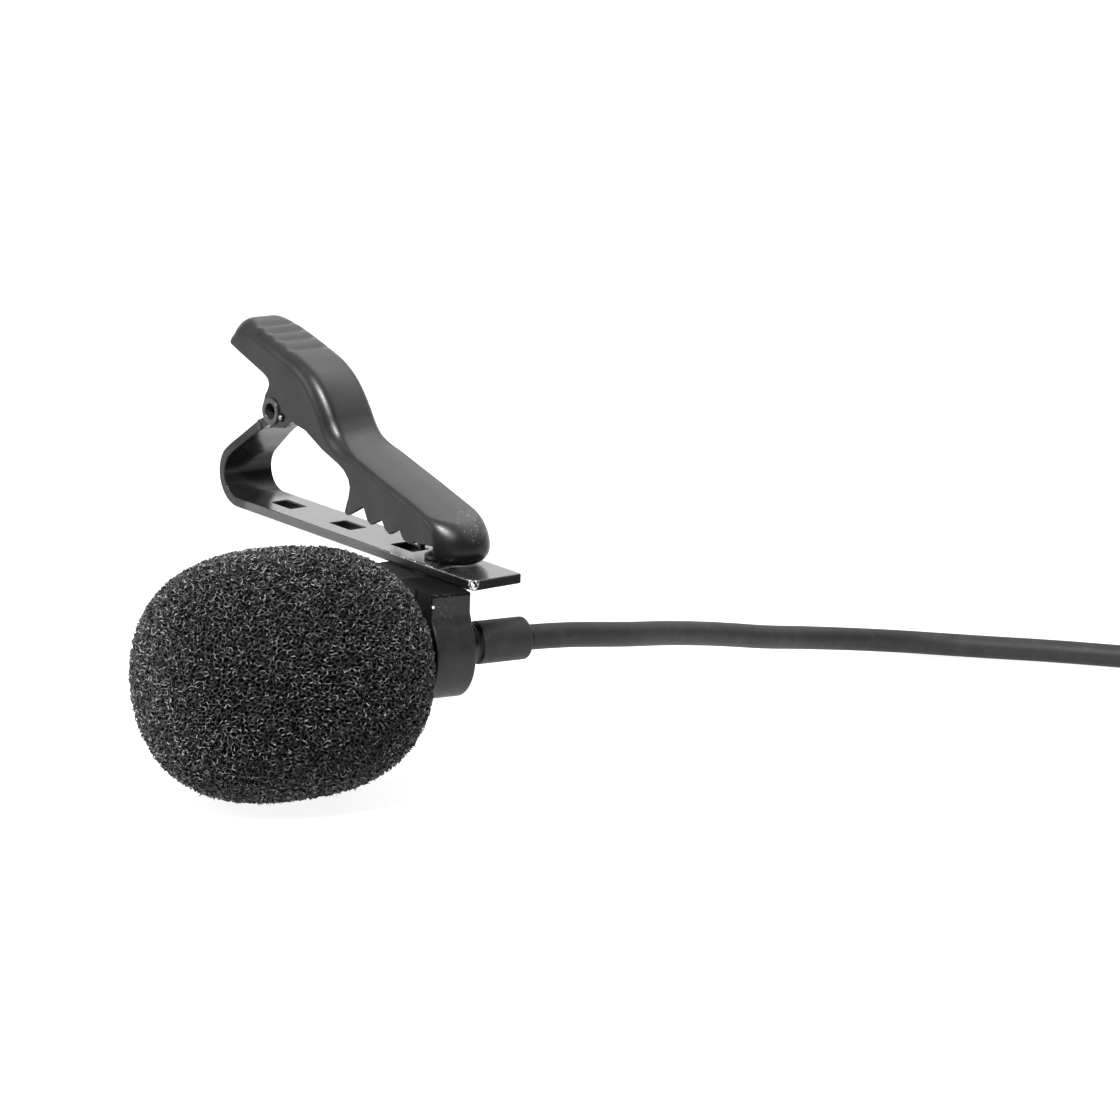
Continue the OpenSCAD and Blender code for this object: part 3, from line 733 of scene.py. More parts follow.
# ------------------------------------------------------------------ holder
def holder():
    under = ZT - LEAF_T - 0.05

    def f(x, y, z):
        rad = np.hypot(y, z)
        ring = both(rad - 5.1, np.abs(x + 4.37 / 2) - 4.37 / 2, 0.22)
        neck = both(np.abs(y) - 3.55, np.abs(x + 4.37 / 2) - 4.37 / 2, 0.3)
        neck = both(neck, np.maximum(2.5 - z, z - under), 0.15)
        plate = np.full(np.broadcast(x, y).shape, 1e9, np.float32)
        for k in np.linspace(0, 1, 41):
            cx, cy, cr = RIVET[0] + k * (-2.1 - RIVET[0]), RIVET[1] + k * (9.4 - RIVET[1]), 3.0 - 0.8 * k
            plate = np.minimum(plate, np.hypot(x - cx, y - cy) - cr)
        web = poly_sd(x, y, [(-4.37, 0), (-4.37, 3.55), (-4.3, 9.4), (3.6, 4), (0, 1)])
        plate = both(either(plate, web, 0.8), np.maximum(4.6 - z, z - (under - 0.3)), 0.2)
        d = either(either(ring, neck, 0.45), plate, 0.3)
        d = both(d, 4.2 - rad, 0.1)
        return np.maximum(d, 1.1 - np.where(z > 3, np.hypot(x - RIVET[0], y - RIVET[1]), 9.0))

    o = solid_from("holder_moulding", f, (-4.8, -5.6, -5.6), (4.8, 12.1, 6.9), QUALITY["holder"], mic_to_world, lambda n: n, ratio=0.4)
    o.data.materials.append(moulded("holder_plastic", 0.013, 0.45, seam=FACE_X - 1.95))
    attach(o, "holder")
    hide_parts("mic_holder")
    return o


# ------------------------------------------------------------------ turned pieces
def rounded(profile, radii, steps=5):
    """Open outline with its inner corners rounded: points and their outward normals, doubled at sharp corners."""
    p = np.asarray(profile, float)
    pts, nrm = [], []

    def left(d):
        return np.array([-d[1], d[0]]) / max(np.hypot(*d), 1e-12)

    for i in range(len(p)):
        if i == 0:
            pts.append(p[0]), nrm.append(left(p[1] - p[0]))
            continue
        if i == len(p) - 1:
            pts.append(p[-1]), nrm.append(left(p[-1] - p[-2]))
            continue
        a, b, c = p[i - 1], p[i], p[i + 1]
        u, w = (a - b) / np.linalg.norm(a - b), (c - b) / np.linalg.norm(c - b)
        r = radii[i] if i < len(radii) else 0
        half = math.acos(max(-1, min(1, float(u @ w)))) / 2
        if r <= 0 or abs(math.pi / 2 - half) < 0.02:
            pts += [b, b]
            nrm += [left(b - a), left(c - b)]
            continue
        cut = min(r / math.tan(half), 0.49 * np.linalg.norm(a - b), 0.49 * np.linalg.norm(c - b))
        r = cut * math.tan(half)
        centre = b + (u + w) / np.linalg.norm(u + w) * r / math.sin(half)
        s, e = b + u * cut, b + w * cut
        a0, a1 = math.atan2(*(s - centre)[::-1]), math.atan2(*(e - centre)[::-1])
        turn = (a1 - a0 + math.pi) % (2 * math.pi) - math.pi
        n0 = left(b - a)
        sign = 1 if (s - centre) @ n0 > 0 else -1
        for k in range(steps + 1):
            q = a0 + turn * k / steps
            d = np.array([math.cos(q), math.sin(q)])
            pts.append(centre + r * d)
            nrm.append(sign * d)
    return np.array(pts), np.array(nrm)


def turned(name, profile, radii, origin, axis, up, sides=96, steps=5):
    """Turned solid. profile is a closed list of (along, radius) in mm: out along the outside, back along the inside."""
    pts, nrm = rounded(list(profile) + [profile[0]], list(radii), steps)
    origin, axis, up = (np.asarray(x, float) for x in (origin, axis, up))
    side = np.cross(axis, up)
    ring, spot = [], {}
    for x, r in pts:
        ring.append(spot.setdefault((round(float(x), 5), round(float(r), 5)), len(spot)))
    keys = list(spot)
    verts, index = [], {}

    def vert(k, j):
        key = (k, 0 if keys[k][1] < 1e-6 else j % sides)
        if key not in index:
            x, r = keys[k]
            a = 2 * math.pi * key[1] / sides
            index[key] = len(verts)
            verts.append(origin + axis * x + (math.cos(a) * up + math.sin(a) * side) * r)
        return index[key]

    faces, norms = [], []
    for j in range(sides):
        for i in range(len(pts) - 1):
            if ring[i] == ring[i + 1]:
                continue
            corners = [(i, j), (i + 1, j), (i + 1, j + 1), (i, j + 1)]
            seen, face = set(), []
            for c in corners:
                v = vert(ring[c[0]], c[1])
                if v not in seen:
                    seen.add(v)
                    face.append((v, c))
            if len(face) < 3:
                continue
            faces.append(tuple(v for v, _ in face))
            for _, (k, jj) in face:
                a = 2 * math.pi * jj / sides
                norms.append(axis * nrm[k][0] + (math.cos(a) * up + math.sin(a) * side) * nrm[k][1])
    v = np.array(verts)
    f0 = faces[len(faces) // 2]
    n0 = norms[sum(len(f) for f in faces[: len(faces) // 2])]
    if np.dot(np.cross(v[f0[1]] - v[f0[0]], v[f0[2]] - v[f0[0]]), n0) < 0:
        at, turned_n = 0, []
        for f in faces:
            turned_n += norms[at : at + len(f)][::-1]
            at += len(f)
        faces, norms = [f[::-1] for f in faces], turned_n
    o = new_mesh(name, v * MM, faces, None)
    o.data.normals_split_custom_set([tuple(map(float, n)) for n in norms])
    return o


def tube(name, path, radius, sides, ref=(0, 0, 1), scale=None):
    """Closed round tube along a path in mm."""
    p = np.asarray(path, float)
    t = np.gradient(p, axis=0)
    t /= np.linalg.norm(t, axis=1, keepdims=True)
    a = np.cross(np.asarray(ref, float), t)
    a /= np.linalg.norm(a, axis=1, keepdims=True)
    b = np.cross(t, a)
    ang = (np.arange(sides) + 0.5) * 2 * math.pi / sides
    r = radius * (np.ones(len(p)) if scale is None else scale)
    ring = (
        p[:, None, :]
        + r[:, None, None] * (np.cos(ang)[None, :, None] * a[:, None, :] + np.sin(ang)[None, :, None] * b[:, None, :])
    )
    n = len(p)
    verts = ring.reshape(-1, 3) * MM
    faces = []
    for i in range(n - 1):
        for k in range(sides):
            k2 = (k + 1) % sides
            faces.append((i * sides + k, i * sides + k2, (i + 1) * sides + k2, (i + 1) * sides + k))
    faces.append(tuple(reversed(range(sides))))
    faces.append(tuple((n - 1) * sides + k for k in range(sides)))
    return new_mesh(name, verts, faces)


# ------------------------------------------------------------------ cord
LEAD = [
    (10.3, -14, 13), (16, -14, 13), (21, -14, 13), (26.5, -13.8, 12.7), (33.5, -11.85, 11.5), (41.5, -7.85, 9.8), (50, -3.85, 7.8),
    (58.5, -0.35, 5.7), (65, 2.65, 4.2), (73, 4.65, 2.7), (79.5, 4.65, 1.8), (85, 2.65, 1.4), (90, -0.35, 1.3), (96, -4.35, 1.3),
    (102, -8.95, 1.3), (108, -13.55, 1.3), (114, -18.25, 1.3),
]
COIL = (130.0, -7.35)
TAIL_POLAR = [
    (-150, 18.3, 9.4), (-130, 19.8, 9.2), (-110, 21.3, 8.4), (-92, 21.5, 7), (-74, 21.6, 5.2), (-57, 21.8, 3.6), (-43, 22.2, 2.5),
    (-31, 23, 2.6),
]
TAIL_END = [(153.4, -14.95, 3.6), (154.3, -11.35, 4.1)]
TIE_A = 40.0


def coil_path():
    """Four layers of turns, each a flat spiral; the cord climbs over its own last turn at the end of a layer."""
    pts = []
    r_out, r_in, pitch = 18.35, 10.2, 2.7
    angle = -125.0
    step = 5.0
    z, r = 1.3, r_out
    direction = -1
    per_layer = (r_out - r_in) / pitch
    for layer in range(4):
        steps = int(round(per_layer * 360 / step))
        for i in range(steps):
            rr = r + direction * (r_out - r_in) * i / steps
            pts.append((angle, rr, z))
            angle += step
        r = r_in if direction < 0 else r_out
        if layer < 3:
            climb = int(round(0.955 * 360 / step))
            for i in range(climb):
                f = i / climb
                gap = pitch * (1 - f)
                dz = math.sqrt(max(0.0, 2.64**2 - min(gap, 2.64) ** 2))
                pts.append((angle, r, z + dz))
                angle += step
            z += 2.64
            direction = -direction
    # run on at the outer edge to where the tail leaves
    end = -150.0
    while (angle - end) % 360 > step / 2:
        pts.append((angle, r_out, z + 0.15 * min(1.0, 1.0)))
        angle += step
    out = []
    lift = 0.62
    for a, rr, zz in pts:
        d = (a - TIE_A + 180) % 360 - 180
        out.append((a, rr, zz + lift * math.exp(-((d / 26.0) ** 2))))
    return out


def cord():
    lead = smooth_line(LEAD + [(119.5, -22.4, 1.3)], 5)
    lead = lead[: -5]
    wound = [(COIL[0] + r * math.cos(math.radians(a)), COIL[1] + r * math.sin(math.radians(a)), z) for a, r, z in coil_path()]
    tail = [(COIL[0] + r * math.cos(math.radians(a)), COIL[1] + r * math.sin(math.radians(a)), z) for a, r, z in TAIL_POLAR] + TAIL_END
    tail = smooth_line(tail, 6)
    tail = np.concatenate([tail, [tail[-1] + np.array([0, 1.2, 0])]])
    bridge = smooth_line([tuple(lead[-1]), tuple(wound[1])], 3)
    path = np.concatenate([lead[:-1], bridge[:-1], np.array(wound[2:]), tail])
    # even spacing and a light smoothing, so that no joint between the stretches shows
    def even(p, step):
        along = np.concatenate([[0], np.cumsum(np.linalg.norm(np.diff(p, axis=0), axis=1))])
        at = np.linspace(0, along[-1], int(along[-1] / step) + 1)
        return np.stack([np.interp(at, along, p[:, k]) for k in range(3)], 1)

    path = even(path, 1.1)
    for _ in range(4):
        path[1:-1] = path[1:-1] * 0.5 + (path[:-2] + path[2:]) * 0.25
    path[:, 2] = np.maximum(path[:, 2], 1.3)
    o = tube("cord", path, 1.315, 24)
    o.data.materials.append(soft_rubber("cord_rubber", 0.015, 0.5))
    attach(o, "microphone")
    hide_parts("cord_lead", "cord_coil", "cord_tail")
    return o, path * MM


QUALITY = {"jaw": 0.12, "leaf": 0.12, "holder": 0.12}

cord_obj, cord_path = cord()
jaw()
leaf()
holder()


# ------------------------------------------------------------------ turned pieces of the microphone and clip
MIC = (FACE_X, AXIS_Y, AXIS_Z)
CLIP_UP = (0.0, 0.0, 1.0)
V_DIR = (math.cos(CLIP_TURN), math.sin(CLIP_TURN), 0.0)


def finish(o, m, body, *nodes, slot=None):
    o.data.materials.append(m)
    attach(o, body)
    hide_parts(*nodes)
    return o


def along_x(name, profile, radii):
    return turned(name, profile, radii, MIC, (1, 0, 0), (0, 0, 1))


CAP_F = -18.5
finish(
    along_x("capsule_shell", [(-1.3, 2.6), (-1.3, 3.7), (CAP_F, 3.7), (CAP_F, 4.15), (-0.3, 4.15), (-0.3, 1.75), (-1.3, 1.75)],
            [0, 0, 0.1, 0.14, 0.18, 0.05, 0]),
    satin_paint("capsule_paint", 0.022, 0.4), "microphone", "capsule_body")
finish(
    along_x("collar_turned", [(-1.3, 1.5), (-1.3, 1.75), (-0.3, 1.75), (-0.3, 2.2), (1.9, 2.2), (1.9, 1.4), (-1.3, 1.4)],
            [0, 0.04, 0, 0.14, 0.14, 0.03, 0]),
    plain_metal("collar_metal", (0.045, 0.045, 0.047), 0.34), "microphone", "rear_collar")
finish(
    along_x("relief_moulding", [(1.9, 1.6), (1.9, 1.85), (2.44, 1.85), (2.44, 2.2), (8.04, 2.2), (8.04, 1.34), (1.9, 1.34)],
            [0, 0.03, 0.08, 0.11, 0.82, 0.1, 0]),
    soft_rubber("relief_rubber", 0.015, 0.5), "microphone", "strain_relief")
rivet_at = (FACE_X + RIVET[0], AXIS_Y + RIVET[1], AXIS_Z)
finish(
    turned("rivet_turned", [(4.3, 0), (4.3, 1.7), (4.6, 1.7), (4.6, 1.1), (7.52, 1.1), (7.52, 1.75), (7.86, 1.75), (8.17, 1.15), (8.17, 0)],
           [0, 0.05, 0.05, 0, 0, 0.08, 0.2, 0.3], rivet_at, (0, 0, 1), (1, 0, 0), sides=64),
    satin_paint("rivet_paint", 0.03, 0.32), "holder", "holder_rivet")
finish(
    turned("washer_disc", [(6.2, 1.12), (6.09, 1.12), (6.09, 2.9), (6.39, 2.9), (6.39, 1.12)], [0, 0.03, 0.1, 0.1, 0.03],
           rivet_at, (0, 0, 1), (1, 0, 0), sides=96)
    , moulded("washer_nylon", 0.02, 0.5), "holder", "swivel_washer")
eyelet_at = clip_to_world(np.array([[PIVOT[0], PIVOT[1], LEAF_W / 2]]))[0] / MM
finish(
    turned("eyelet_rolled",
           [(0, 0.85), (-3.65, 0.85), (-3.65, 1.45), (-3.4, 1.45), (-3.4, 1.15), (3.4, 1.15), (3.4, 1.45), (3.65, 1.45), (3.65, 0.85)],
           [0, 0.16, 0.14, 0.04, 0, 0, 0.04, 0.14, 0.16], eyelet_at, V_DIR, CLIP_UP, sides=64),
    satin_paint("eyelet_paint", 0.02, 0.3), "jaw", "pivot_eyelet")


def spring():
    wire, rad, turns = 0.25, 1.55, 3.4
    v0 = LEAF_W / 2 - 0.9
    a = np.radians(190 + np.linspace(0, turns * 360, 200))
    f = np.linspace(0, 1, 200)
    coil = np.stack([PIVOT[0] + rad * np.cos(a), PIVOT[1] + rad * np.sin(a), v0 + f * turns * 0.53], 1)
    legs_in = smooth_line([(32.8, 10.5, 0.75), (32.82, 10.45, 1.3), (33.1, 10.2, v0 - 0.15), tuple(coil[0])], 6)
    legs_out = smooth_line([tuple(coil[-1]), (36.9, 10.45, v0 + 1.85), (38.7, 9.3, v0 + 1.85), (40.5, 8, v0 + 1.85)], 6)
    hook = [(32.8, 10.5, v) for v in np.linspace(-0.575, 0.6, 6)]
    path = clip_to_world(np.concatenate([hook, legs_in[:-1], coil, legs_out[1:]])) / MM
    return tube("spring_wire", path, wire, 12, ref=(0.31, 0.22, 0.9))


def wind(o, m):
    """Spring finish: its material, its placement baked into its mesh, and the CAD spring hidden. In the real clip the
    coil turns as the jaw opens: the end hooked in the jaw's cheek goes with the jaw, the free leg stays on the leaf.
    """
    o.data.materials.append(m)
    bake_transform(o)
    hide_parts("torsion_spring")


wind(spring(), plain_metal("spring_steel", (0.3, 0.3, 0.31), 0.28))

PLUG = (154.3, -11.35, 4.1)


def along_y(name, profile, radii):
    return turned(name, profile, radii, PLUG, (0, 1, 0), (0, 0, 1))


boot = [(0.6, 0), (0, 0), (0, 1.9), (0.5, 2.1)]
boot_r = [0, 0, 0.3, 0.3]
for k in range(5):
    at = 1.4 + 1.4 * k
    r = 2.1 + 0.9 * (at - 0.5) / 8
    boot += [(at, r), (at, r - 0.35), (at + 0.55, r - 0.33), (at + 0.55, r + 0.06)]
    boot_r += [0.12, 0.1, 0.1, 0.12]
boot += [(8.5, 3), (10, 3), (10, 2.4), (11.5, 2.4), (11.5, 0)]
boot_r += [0.3, 0.1, 0, 0.1, 0]
finish(along_y("boot_moulding", boot, boot_r), soft_rubber("boot_rubber", 0.026, 0.5), "microphone", "plug_boot")
finish(
    along_y("barrel_turned",
            [(11.5, 2.5), (11.5, 2.4), (10, 2.4), (10, 3.6), (10.6, 4), (12.2, 4), (12.2, 3.85), (12.7, 3.85), (12.7, 4), (22.6, 4), (22.6, 3.85),
             (23.1, 3.85), (23.1, 4), (24.4, 4), (25, 3.7), (25, 2.6), (11.5, 2.6)],
            [0, 0, 0.1, 0.25, 0.2, 0.06, 0.05, 0.05, 0.06, 0.06, 0.05, 0.05, 0.06, 0.25, 0.15, 0.05]),
    satin_paint("barrel_paint", 0.03, 0.34), "microphone", "plug_barrel")
gold = plain_metal("contact_gold", (0.86, 0.68, 0.36), 0.18)
finish(
    along_y("sleeve_turned",
            [(13, 1), (13, 2.6), (25, 2.6), (25, 2.9), (25.8, 2.9), (25.8, 1.75), (32.8, 1.75), (32.8, 1.3), (20, 1.3), (20, 0.6), (13, 0.6)],
            [0, 0, 0, 0.1, 0.1, 0.1, 0.08, 0]),
    gold, "microphone", "plug_sleeve")
finish(along_y("ring_turned", [(34.2, 0.5), (33.5, 0.5), (33.5, 1.75), (35, 1.75), (35, 0.5)], [0, 0, 0.05, 0.05, 0]), gold, "microphone", "plug_ring")
finish(
    along_y("tip_turned",
            [(21, 0), (21, 0.5), (35.7, 0.5), (35.7, 1.7), (36, 1.75), (36.3, 1.6), (36.9, 1.2), (37.5, 1.65), (38.1, 1.62), (39.2, 0.9),
             (39.6, 0.35), (39.7, 0)],
            [0, 0, 0, 0.1, 0.15, 0.3, 0.3, 0.25, 0.4, 0.4, 0.2, 0]),
    gold, "microphone", "plug_tip")


# ------------------------------------------------------------------ tie round the coil
def tie():
    """Hook-and-loop strap: once round the coil, its end lapped over its start on top."""
    lo, hi, zl, zh, rad = 8.28, 20.12, 0.32, 11.4, 1.7
    ring = []
    for cx, cz, a0 in ((hi - rad, zh - rad, 90), (hi - rad, zl + rad, 0), (lo + rad, zl + rad, -90), (lo + rad, zh - rad, -180)):
        for a in np.radians(np.linspace(a0, a0 - 90, 9)):
            ring.append((cx + rad * math.cos(a), cz + rad * math.sin(a)))
    ring = np.array(ring)
    start = np.array([[13.0, zh], [16.0, zh]])
    path = np.concatenate([start, ring, [[11.6, zh + 0.02], [12.6, zh + 0.3], [13.4, zh + 0.5], [15.5, zh + 0.52], [17.6, zh + 0.45]]])
    along = np.concatenate([[0], np.cumsum(np.linalg.norm(np.diff(path, axis=0), axis=1))])
    at = np.linspace(0, along[-1], 150)
    p = np.stack([np.interp(at, along, path[:, k]) for k in range(2)], 1)
    for _ in range(3):
        p[1:-1] = p[1:-1] * 0.5 + (p[:-2] + p[2:]) * 0.25
    t = np.gradient(p, axis=0)
    t /= np.linalg.norm(t, axis=1, keepdims=True)
    n = np.stack([-t[:, 1], t[:, 0]], 1)
    # cross section: 5 mm wide, 0.5 thick, edges rounded, middle a little fuller
    sec = []
    for w in np.linspace(-2.4, 2.4, 17):
        sec.append((w, 0.22 + 0.035 * math.cos(w * 0.9)))
    sec += [(2.5, 0.12), (2.5, -0.12)]
    for w in np.linspace(2.4, -2.4, 17):
        sec.append((w, -0.22))
    sec += [(-2.5, -0.12), (-2.5, 0.12)]
    sec = np.array(sec)
    rng = np.random.default_rng(4)
    c, s_ = math.cos(math.radians(TIE_A)), math.sin(math.radians(TIE_A))
    verts = []
    for i in range(len(p)):
        fray = rng.normal(0, 0.012, len(sec))
        rho = p[i, 0] + n[i, 0] * (sec[:, 1] + fray)
        z = p[i, 1] + n[i, 1] * (sec[:, 1] + fray)
        x = COIL[0] + c * rho - s_ * sec[:, 0]
        y = COIL[1] + s_ * rho + c * sec[:, 0]
        verts.append(np.stack([x, y, np.maximum(z, 0.03)], 1))
    verts = np.concatenate(verts)
    m, faces = len(sec), []
    for i in range(len(p) - 1):
        for k in range(m):
            k2 = (k + 1) % m
            faces.append((i * m + k, (i + 1) * m + k, (i + 1) * m + k2, i * m + k2))
    faces.append(tuple(range(m)))
    faces.append(tuple(reversed([(len(p) - 1) * m + k for k in range(m)])))
    return new_mesh("tie_strap", verts * MM, faces)


tie_obj = finish(tie(), woven("tie_fabric", 0.03, 0.5), "microphone", "coil_tie")


# ------------------------------------------------------------------ foam
FOAM_C = np.array([-6.42, -15.2, 12.35])
FOAM_R, FOAM_L, FOAM_P = 12.35, 14.45, 2.56


def foam_map():
    """Outline of the foam by share of its area, so that points spread evenly over a ball spread evenly over it."""
    a = np.linspace(1e-3, math.pi - 1e-3, 6000)
    x = -FOAM_L * np.sign(np.cos(a)) * np.abs(np.cos(a)) ** (2 / FOAM_P)
    r = FOAM_R * np.sin(a) ** (2 / FOAM_P)
    area = np.concatenate([[0], np.cumsum(math.pi * (r[1:] + r[:-1]) * np.hypot(np.diff(x), np.diff(r)))])
    nx = np.sign(x) * np.abs(x / FOAM_L) ** (FOAM_P - 1) / FOAM_L
    nr = (r / FOAM_R) ** (FOAM_P - 1) / FOAM_R
    k = np.hypot(nx, nr)
    return area / area[-1], x, r, nx / k, nr / k, area[-1]


FT, FX, FRAD, FNX, FNR, FOAM_AREA = foam_map()


def foam_place(d, out):
    """Points on the foam for unit directions d, moved out along the skin's normal by out (mm)."""
    t = (1 + d[:, 0]) / 2
    th = np.arctan2(d[:, 2], d[:, 1])
    nx, nr = np.interp(t, FT, FNX), np.interp(t, FT, FNR)
    x = np.interp(t, FT, FX) + nx * out
    r = np.interp(t, FT, FRAD) + nr * out
    p = np.stack([x, r * np.cos(th), r * np.sin(th)], 1) + FOAM_C
    n = np.stack([nx, nr * np.cos(th), nr * np.sin(th)], 1)
    return p, n


def cells(spacing, jitter, seed):
    """Nodes and struts of a net of irregular cells over the unit ball."""
    count = int(FOAM_AREA / (0.866 * spacing * spacing))
    rng = np.random.default_rng(seed)
    i = np.arange(count) + 0.5
    x = 1 - 2 * i / count
    th = i * math.pi * (3 - math.sqrt(5)) + seed
    r = np.sqrt(1 - x * x)
    p = np.stack([x, r * np.cos(th), r * np.sin(th)], 1)
    p += rng.normal(0, jitter * math.sqrt(4 * math.pi / count / 0.866), p.shape)
    p /= np.linalg.norm(p, axis=1, keepdims=True)
    bm = bmesh.new()
    for q in p:
        bm.verts.new(q)
    bmesh.ops.convex_hull(bm, input=list(bm.verts), use_existing_faces=False)
    bm.faces.index_update()
    bm.faces.ensure_lookup_table()
    nodes = np.array([f.calc_center_median() for f in bm.faces])
    nodes /= np.linalg.norm(nodes, axis=1, keepdims=True)
    links = np.array([[e.link_faces[0].index, e.link_faces[1].index] for e in bm.edges if len(e.link_faces) == 2])
    bm.free()
    return nodes, links


def struts(a, b, ra, rb, up):
    """Three-sided rods from a to b: vertices, triangles and how many triangles each rod has."""
    t = b - a
    t /= np.maximum(np.linalg.norm(t, axis=1, keepdims=True), 1e-9)
    u = np.cross(t, up)
    u /= np.maximum(np.linalg.norm(u, axis=1, keepdims=True), 1e-9)
    w = np.cross(u, t)
    verts = np.empty((len(a), 6, 3))
    for k, ang in enumerate(np.radians([90, 210, 330])):
        d = math.cos(ang) * u + math.sin(ang) * w
        verts[:, k] = a + d * ra[:, None]
        verts[:, 3 + k] = b + d * rb[:, None]
    tri = []
    for k in range(3):
        k2 = (k + 1) % 3
        tri += [(k, 3 + k, 3 + k2), (k, 3 + k2, k2)]
    faces = np.arange(len(a))[:, None, None] * 6 + np.array(tri)[None]
    return verts.reshape(-1, 3), faces.reshape(-1, 3), 6


def spikes(a, b, ra, up):
    t = b - a
    t /= np.maximum(np.linalg.norm(t, axis=1, keepdims=True), 1e-9)
    u = np.cross(t, up)
    u /= np.maximum(np.linalg.norm(u, axis=1, keepdims=True), 1e-9)
    w = np.cross(u, t)
    verts = np.empty((len(a), 4, 3))
    for k, ang in enumerate(np.radians([90, 210, 330])):
        verts[:, k] = a + (math.cos(ang) * u + math.sin(ang) * w) * ra[:, None]
    verts[:, 3] = b
    faces = np.arange(len(a))[:, None, None] * 4 + np.array([(0, 3, 1), (1, 3, 2), (2, 3, 0)])[None]
    return verts.reshape(-1, 3), faces.reshape(-1, 3), 3


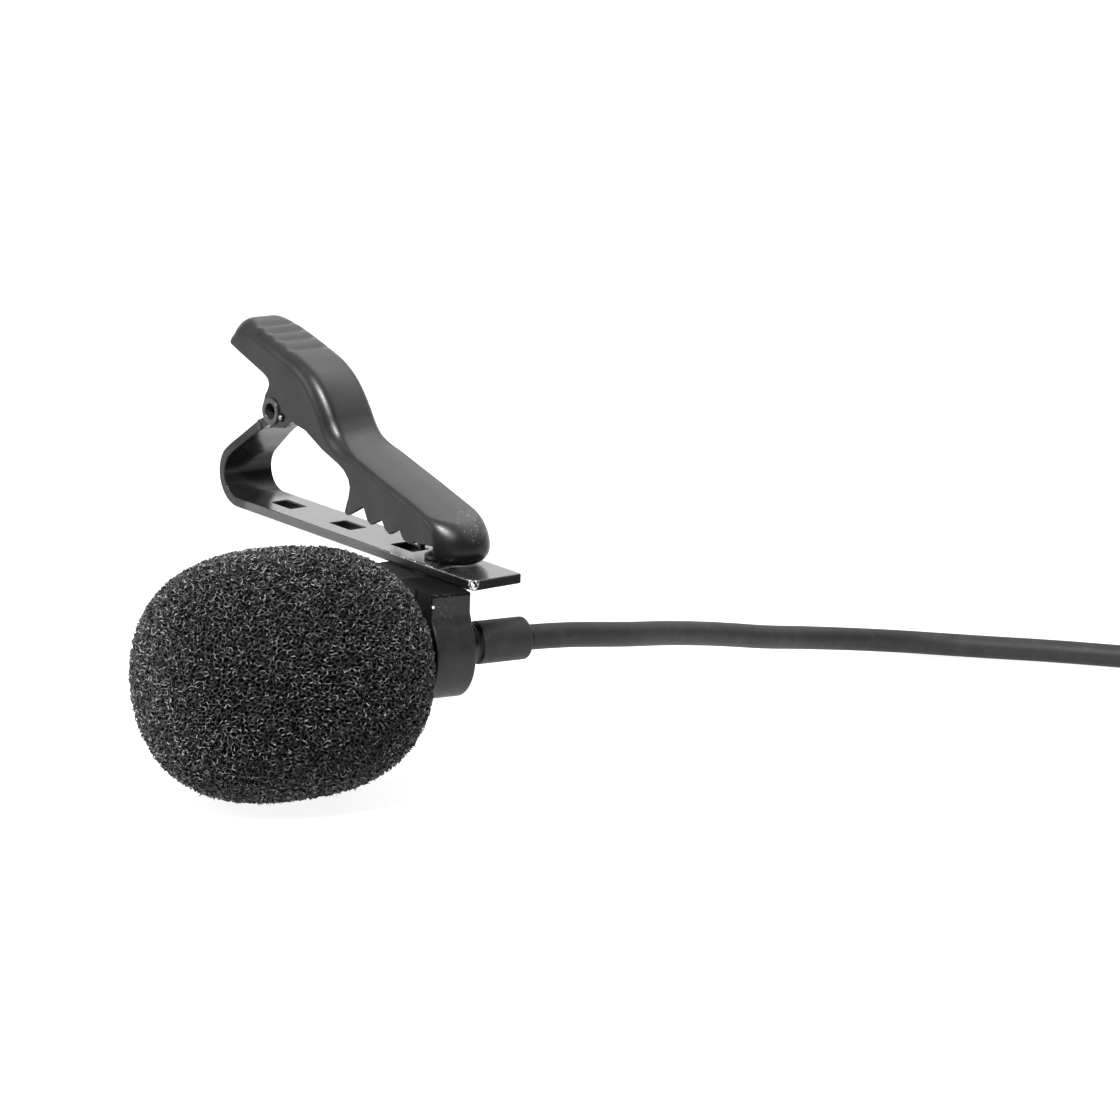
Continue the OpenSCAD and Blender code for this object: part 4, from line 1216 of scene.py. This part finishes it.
def foam():
    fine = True
    pitch = FOAM_CELL if fine else FOAM_CELL * 1.15
    rng = np.random.default_rng(11)
    n1, e1 = cells(pitch, 0.24, 1)
    n2, e2 = cells(pitch * 1.1, 0.24, 2)
    d1 = rng.uniform(-0.32, 0.12, len(n1))
    d2 = rng.uniform(-0.74, -0.4, len(n2))
    p1, m1 = foam_place(n1, d1)
    p2, m2 = foam_place(n2, d2)
    p1[:, 2] = np.maximum(p1[:, 2], 0.07)
    p2[:, 2] = np.maximum(p2[:, 2], 0.2)
    rr1 = rng.uniform(0.8, 1.25, len(n1)) * STRUT_R
    rr2 = rng.uniform(0.8, 1.25, len(n2)) * STRUT_R

    def keep(p):
        rear = p[:, 0] > FOAM_C[0]
        return ~(rear & (np.hypot(p[:, 1] - AXIS_Y, p[:, 2] - AXIS_Z) < 4.42))

    k1, k2 = keep(p1), keep(p2)
    groups = [[], [], [], []]
    ok = k1[e1].all(1)
    # a few struts are torn away where the block was cut
    ok &= rng.random(len(e1)) > 0.17
    e = e1[ok]
    quarter = (p1[e].mean(1)[:, 0] > FOAM_C[0]).astype(int)
    for g in (0, 1):
        q = e[quarter == g]
        groups[g].append(struts(p1[q[:, 0]], p1[q[:, 1]], rr1[q[:, 0]], rr1[q[:, 1]], m1[q[:, 0]]))
    tree = KDTree(len(p2))
    for i, q in enumerate(p2):
        tree.insert(q, i)
    tree.balance()
    near = np.array([tree.find(q)[1] for q in p1])
    ok = k1 & k2[near]
    i = np.nonzero(ok)[0]
    side_up = np.cross(m1[i], rng.normal(size=(len(i), 3)))
    groups[2].append(struts(p1[i], p2[near[i]], rr1[i], rr2[near[i]], side_up))
    e = e2[k2[e2].all(1)]
    groups[3].append(struts(p2[e[:, 0]], p2[e[:, 1]], rr2[e[:, 0]], rr2[e[:, 1]], m2[e[:, 0]]))
    # cut ends standing proud of the skin
    i = np.nonzero(k1 & (rng.random(len(p1)) < 0.3))[0]
    tip = p1[i] + (m1[i] + rng.normal(0, 0.45, (len(i), 3))) * rng.uniform(0.06, 0.24, (len(i), 1))
    tip[:, 2] = np.maximum(tip[:, 2], 0.02)
    groups[2].append(spikes(p1[i], tip, rr1[i], np.cross(m1[i], rng.normal(size=(len(i), 3)))))
    tones = [material("foam", (c,) * 3, 0.4, spec=sp) for c, sp in FOAM_TONES]
    out = []
    for name, parts in zip(("foam_cells_front", "foam_cells_rear", "foam_links", "foam_cells_inner"), groups):
        v, f, tone, at = [], [], [], 0
        for vv, ff, per in parts:
            v.append(vv)
            f.append(ff + at)
            at += len(vv)
            tone.append(np.repeat(np.searchsorted(FOAM_SHARE, rng.random(len(ff) // per)), per))
        v = np.concatenate(v)
        v[:, 2] = np.maximum(v[:, 2], 0.005)
        o = new_mesh(name, v * MM, np.concatenate(f))
        for m in tones[:-1]:
            o.data.materials.append(m)
        out.append(finish(o, tones[-1], "windscreen", "foam_windscreen"))
        o.data.polygons.foreach_set("material_index", (np.concatenate(tone)).astype(np.int32))
        o.data.update()
    # dark heart behind the open cells, pitted, with the bore for the capsule
    steps, around = 120, 260
    t = np.linspace(0, 1, steps)
    a = np.interp(t, [0, 0.02, 0.9, 1], [0.0005, 0.004, 0.985, 1.0])
    x = np.interp(a, FT, FX - 0.78 * FNX)
    r = np.interp(a, FT, FRAD - 0.78 * FNR)
    cut = 4.25
    rear = (x > 0) & (r < 6)
    first = int(np.nonzero(rear)[0][0]) if rear.any() else steps
    off_y, off_z = AXIS_Y - FOAM_C[1], AXIS_Z - FOAM_C[2]
    ang = np.arange(around) * 2 * math.pi / around
    rows = []
    for k in range(first):
        j = rng.uniform(-0.13, 0.1, around)
        rows.append(np.stack([np.full(around, x[k]), (r[k] + j) * np.cos(ang), (r[k] + j) * np.sin(ang)], 1))
    lip = x[first - 1]
    for xx, rad in ((lip + 0.3, 5.2), (lip + 0.4, 4.5), (lip + 0.3, cut), (lip - 2, cut), (-6, cut), (CAP_F - 0.2 + FACE_X - FOAM_C[0], cut), (CAP_F - 0.2 + FACE_X - FOAM_C[0], 0.05)):
        rows.append(np.stack([np.full(around, xx), rad * np.cos(ang) + off_y, rad * np.sin(ang) + off_z], 1))
    v = np.concatenate(rows) + FOAM_C
    v[:, 2] = np.maximum(v[:, 2], 0.35)
    faces = []
    for k in range(len(rows) - 1):
        for q in range(around):
            q2 = (q + 1) % around
            faces.append((k * around + q, (k + 1) * around + q, (k + 1) * around + q2, k * around + q2))
    faces.append(tuple(range(around)))
    faces.append(tuple(reversed([(len(rows) - 1) * around + q for q in range(around)])))
    heart = material("foam_heart", (0.004, 0.004, 0.004), 0.95, spec=0.1)
    o = new_mesh("foam_heart", v * MM, faces)
    out.append(finish(o, heart, "windscreen", "foam_windscreen", slot="foam"))
    return out


FOAM_CELL, STRUT_R = 0.47, 0.059
FOAM_TONES = ((0.05, 0.5), (0.011, 0.3), (0.2, 0.9))  # colour and specular level of the middle, dark and light struts
FOAM_SHARE = (0.38, 0.88)
foam()

# ------------------------------------------------------------------ finishes of the carried-over pieces
FINISH = {
    "front_grille": satin_paint("grille_paint", 0.06, 0.4),
    "dust_felt": woven("felt", 0.12, 0.3),
    "electret_cartridge": plain_metal("cartridge_metal", (0.75, 0.75, 0.77), 0.3),
    "cartridge_gasket": soft_rubber("gasket_rubber", 0.04, 0.6),
    "circuit_board": moulded("board", 0.08, 0.4),
    "cord_clamp": plain_metal("clamp_brass", (0.72, 0.58, 0.3), 0.3),
    "plug_insulators": moulded("insulator", 0.02, 0.3),
}
for name, m in FINISH.items():
    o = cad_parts[name]
    o.data.materials.clear()
    o.data.materials.append(m)
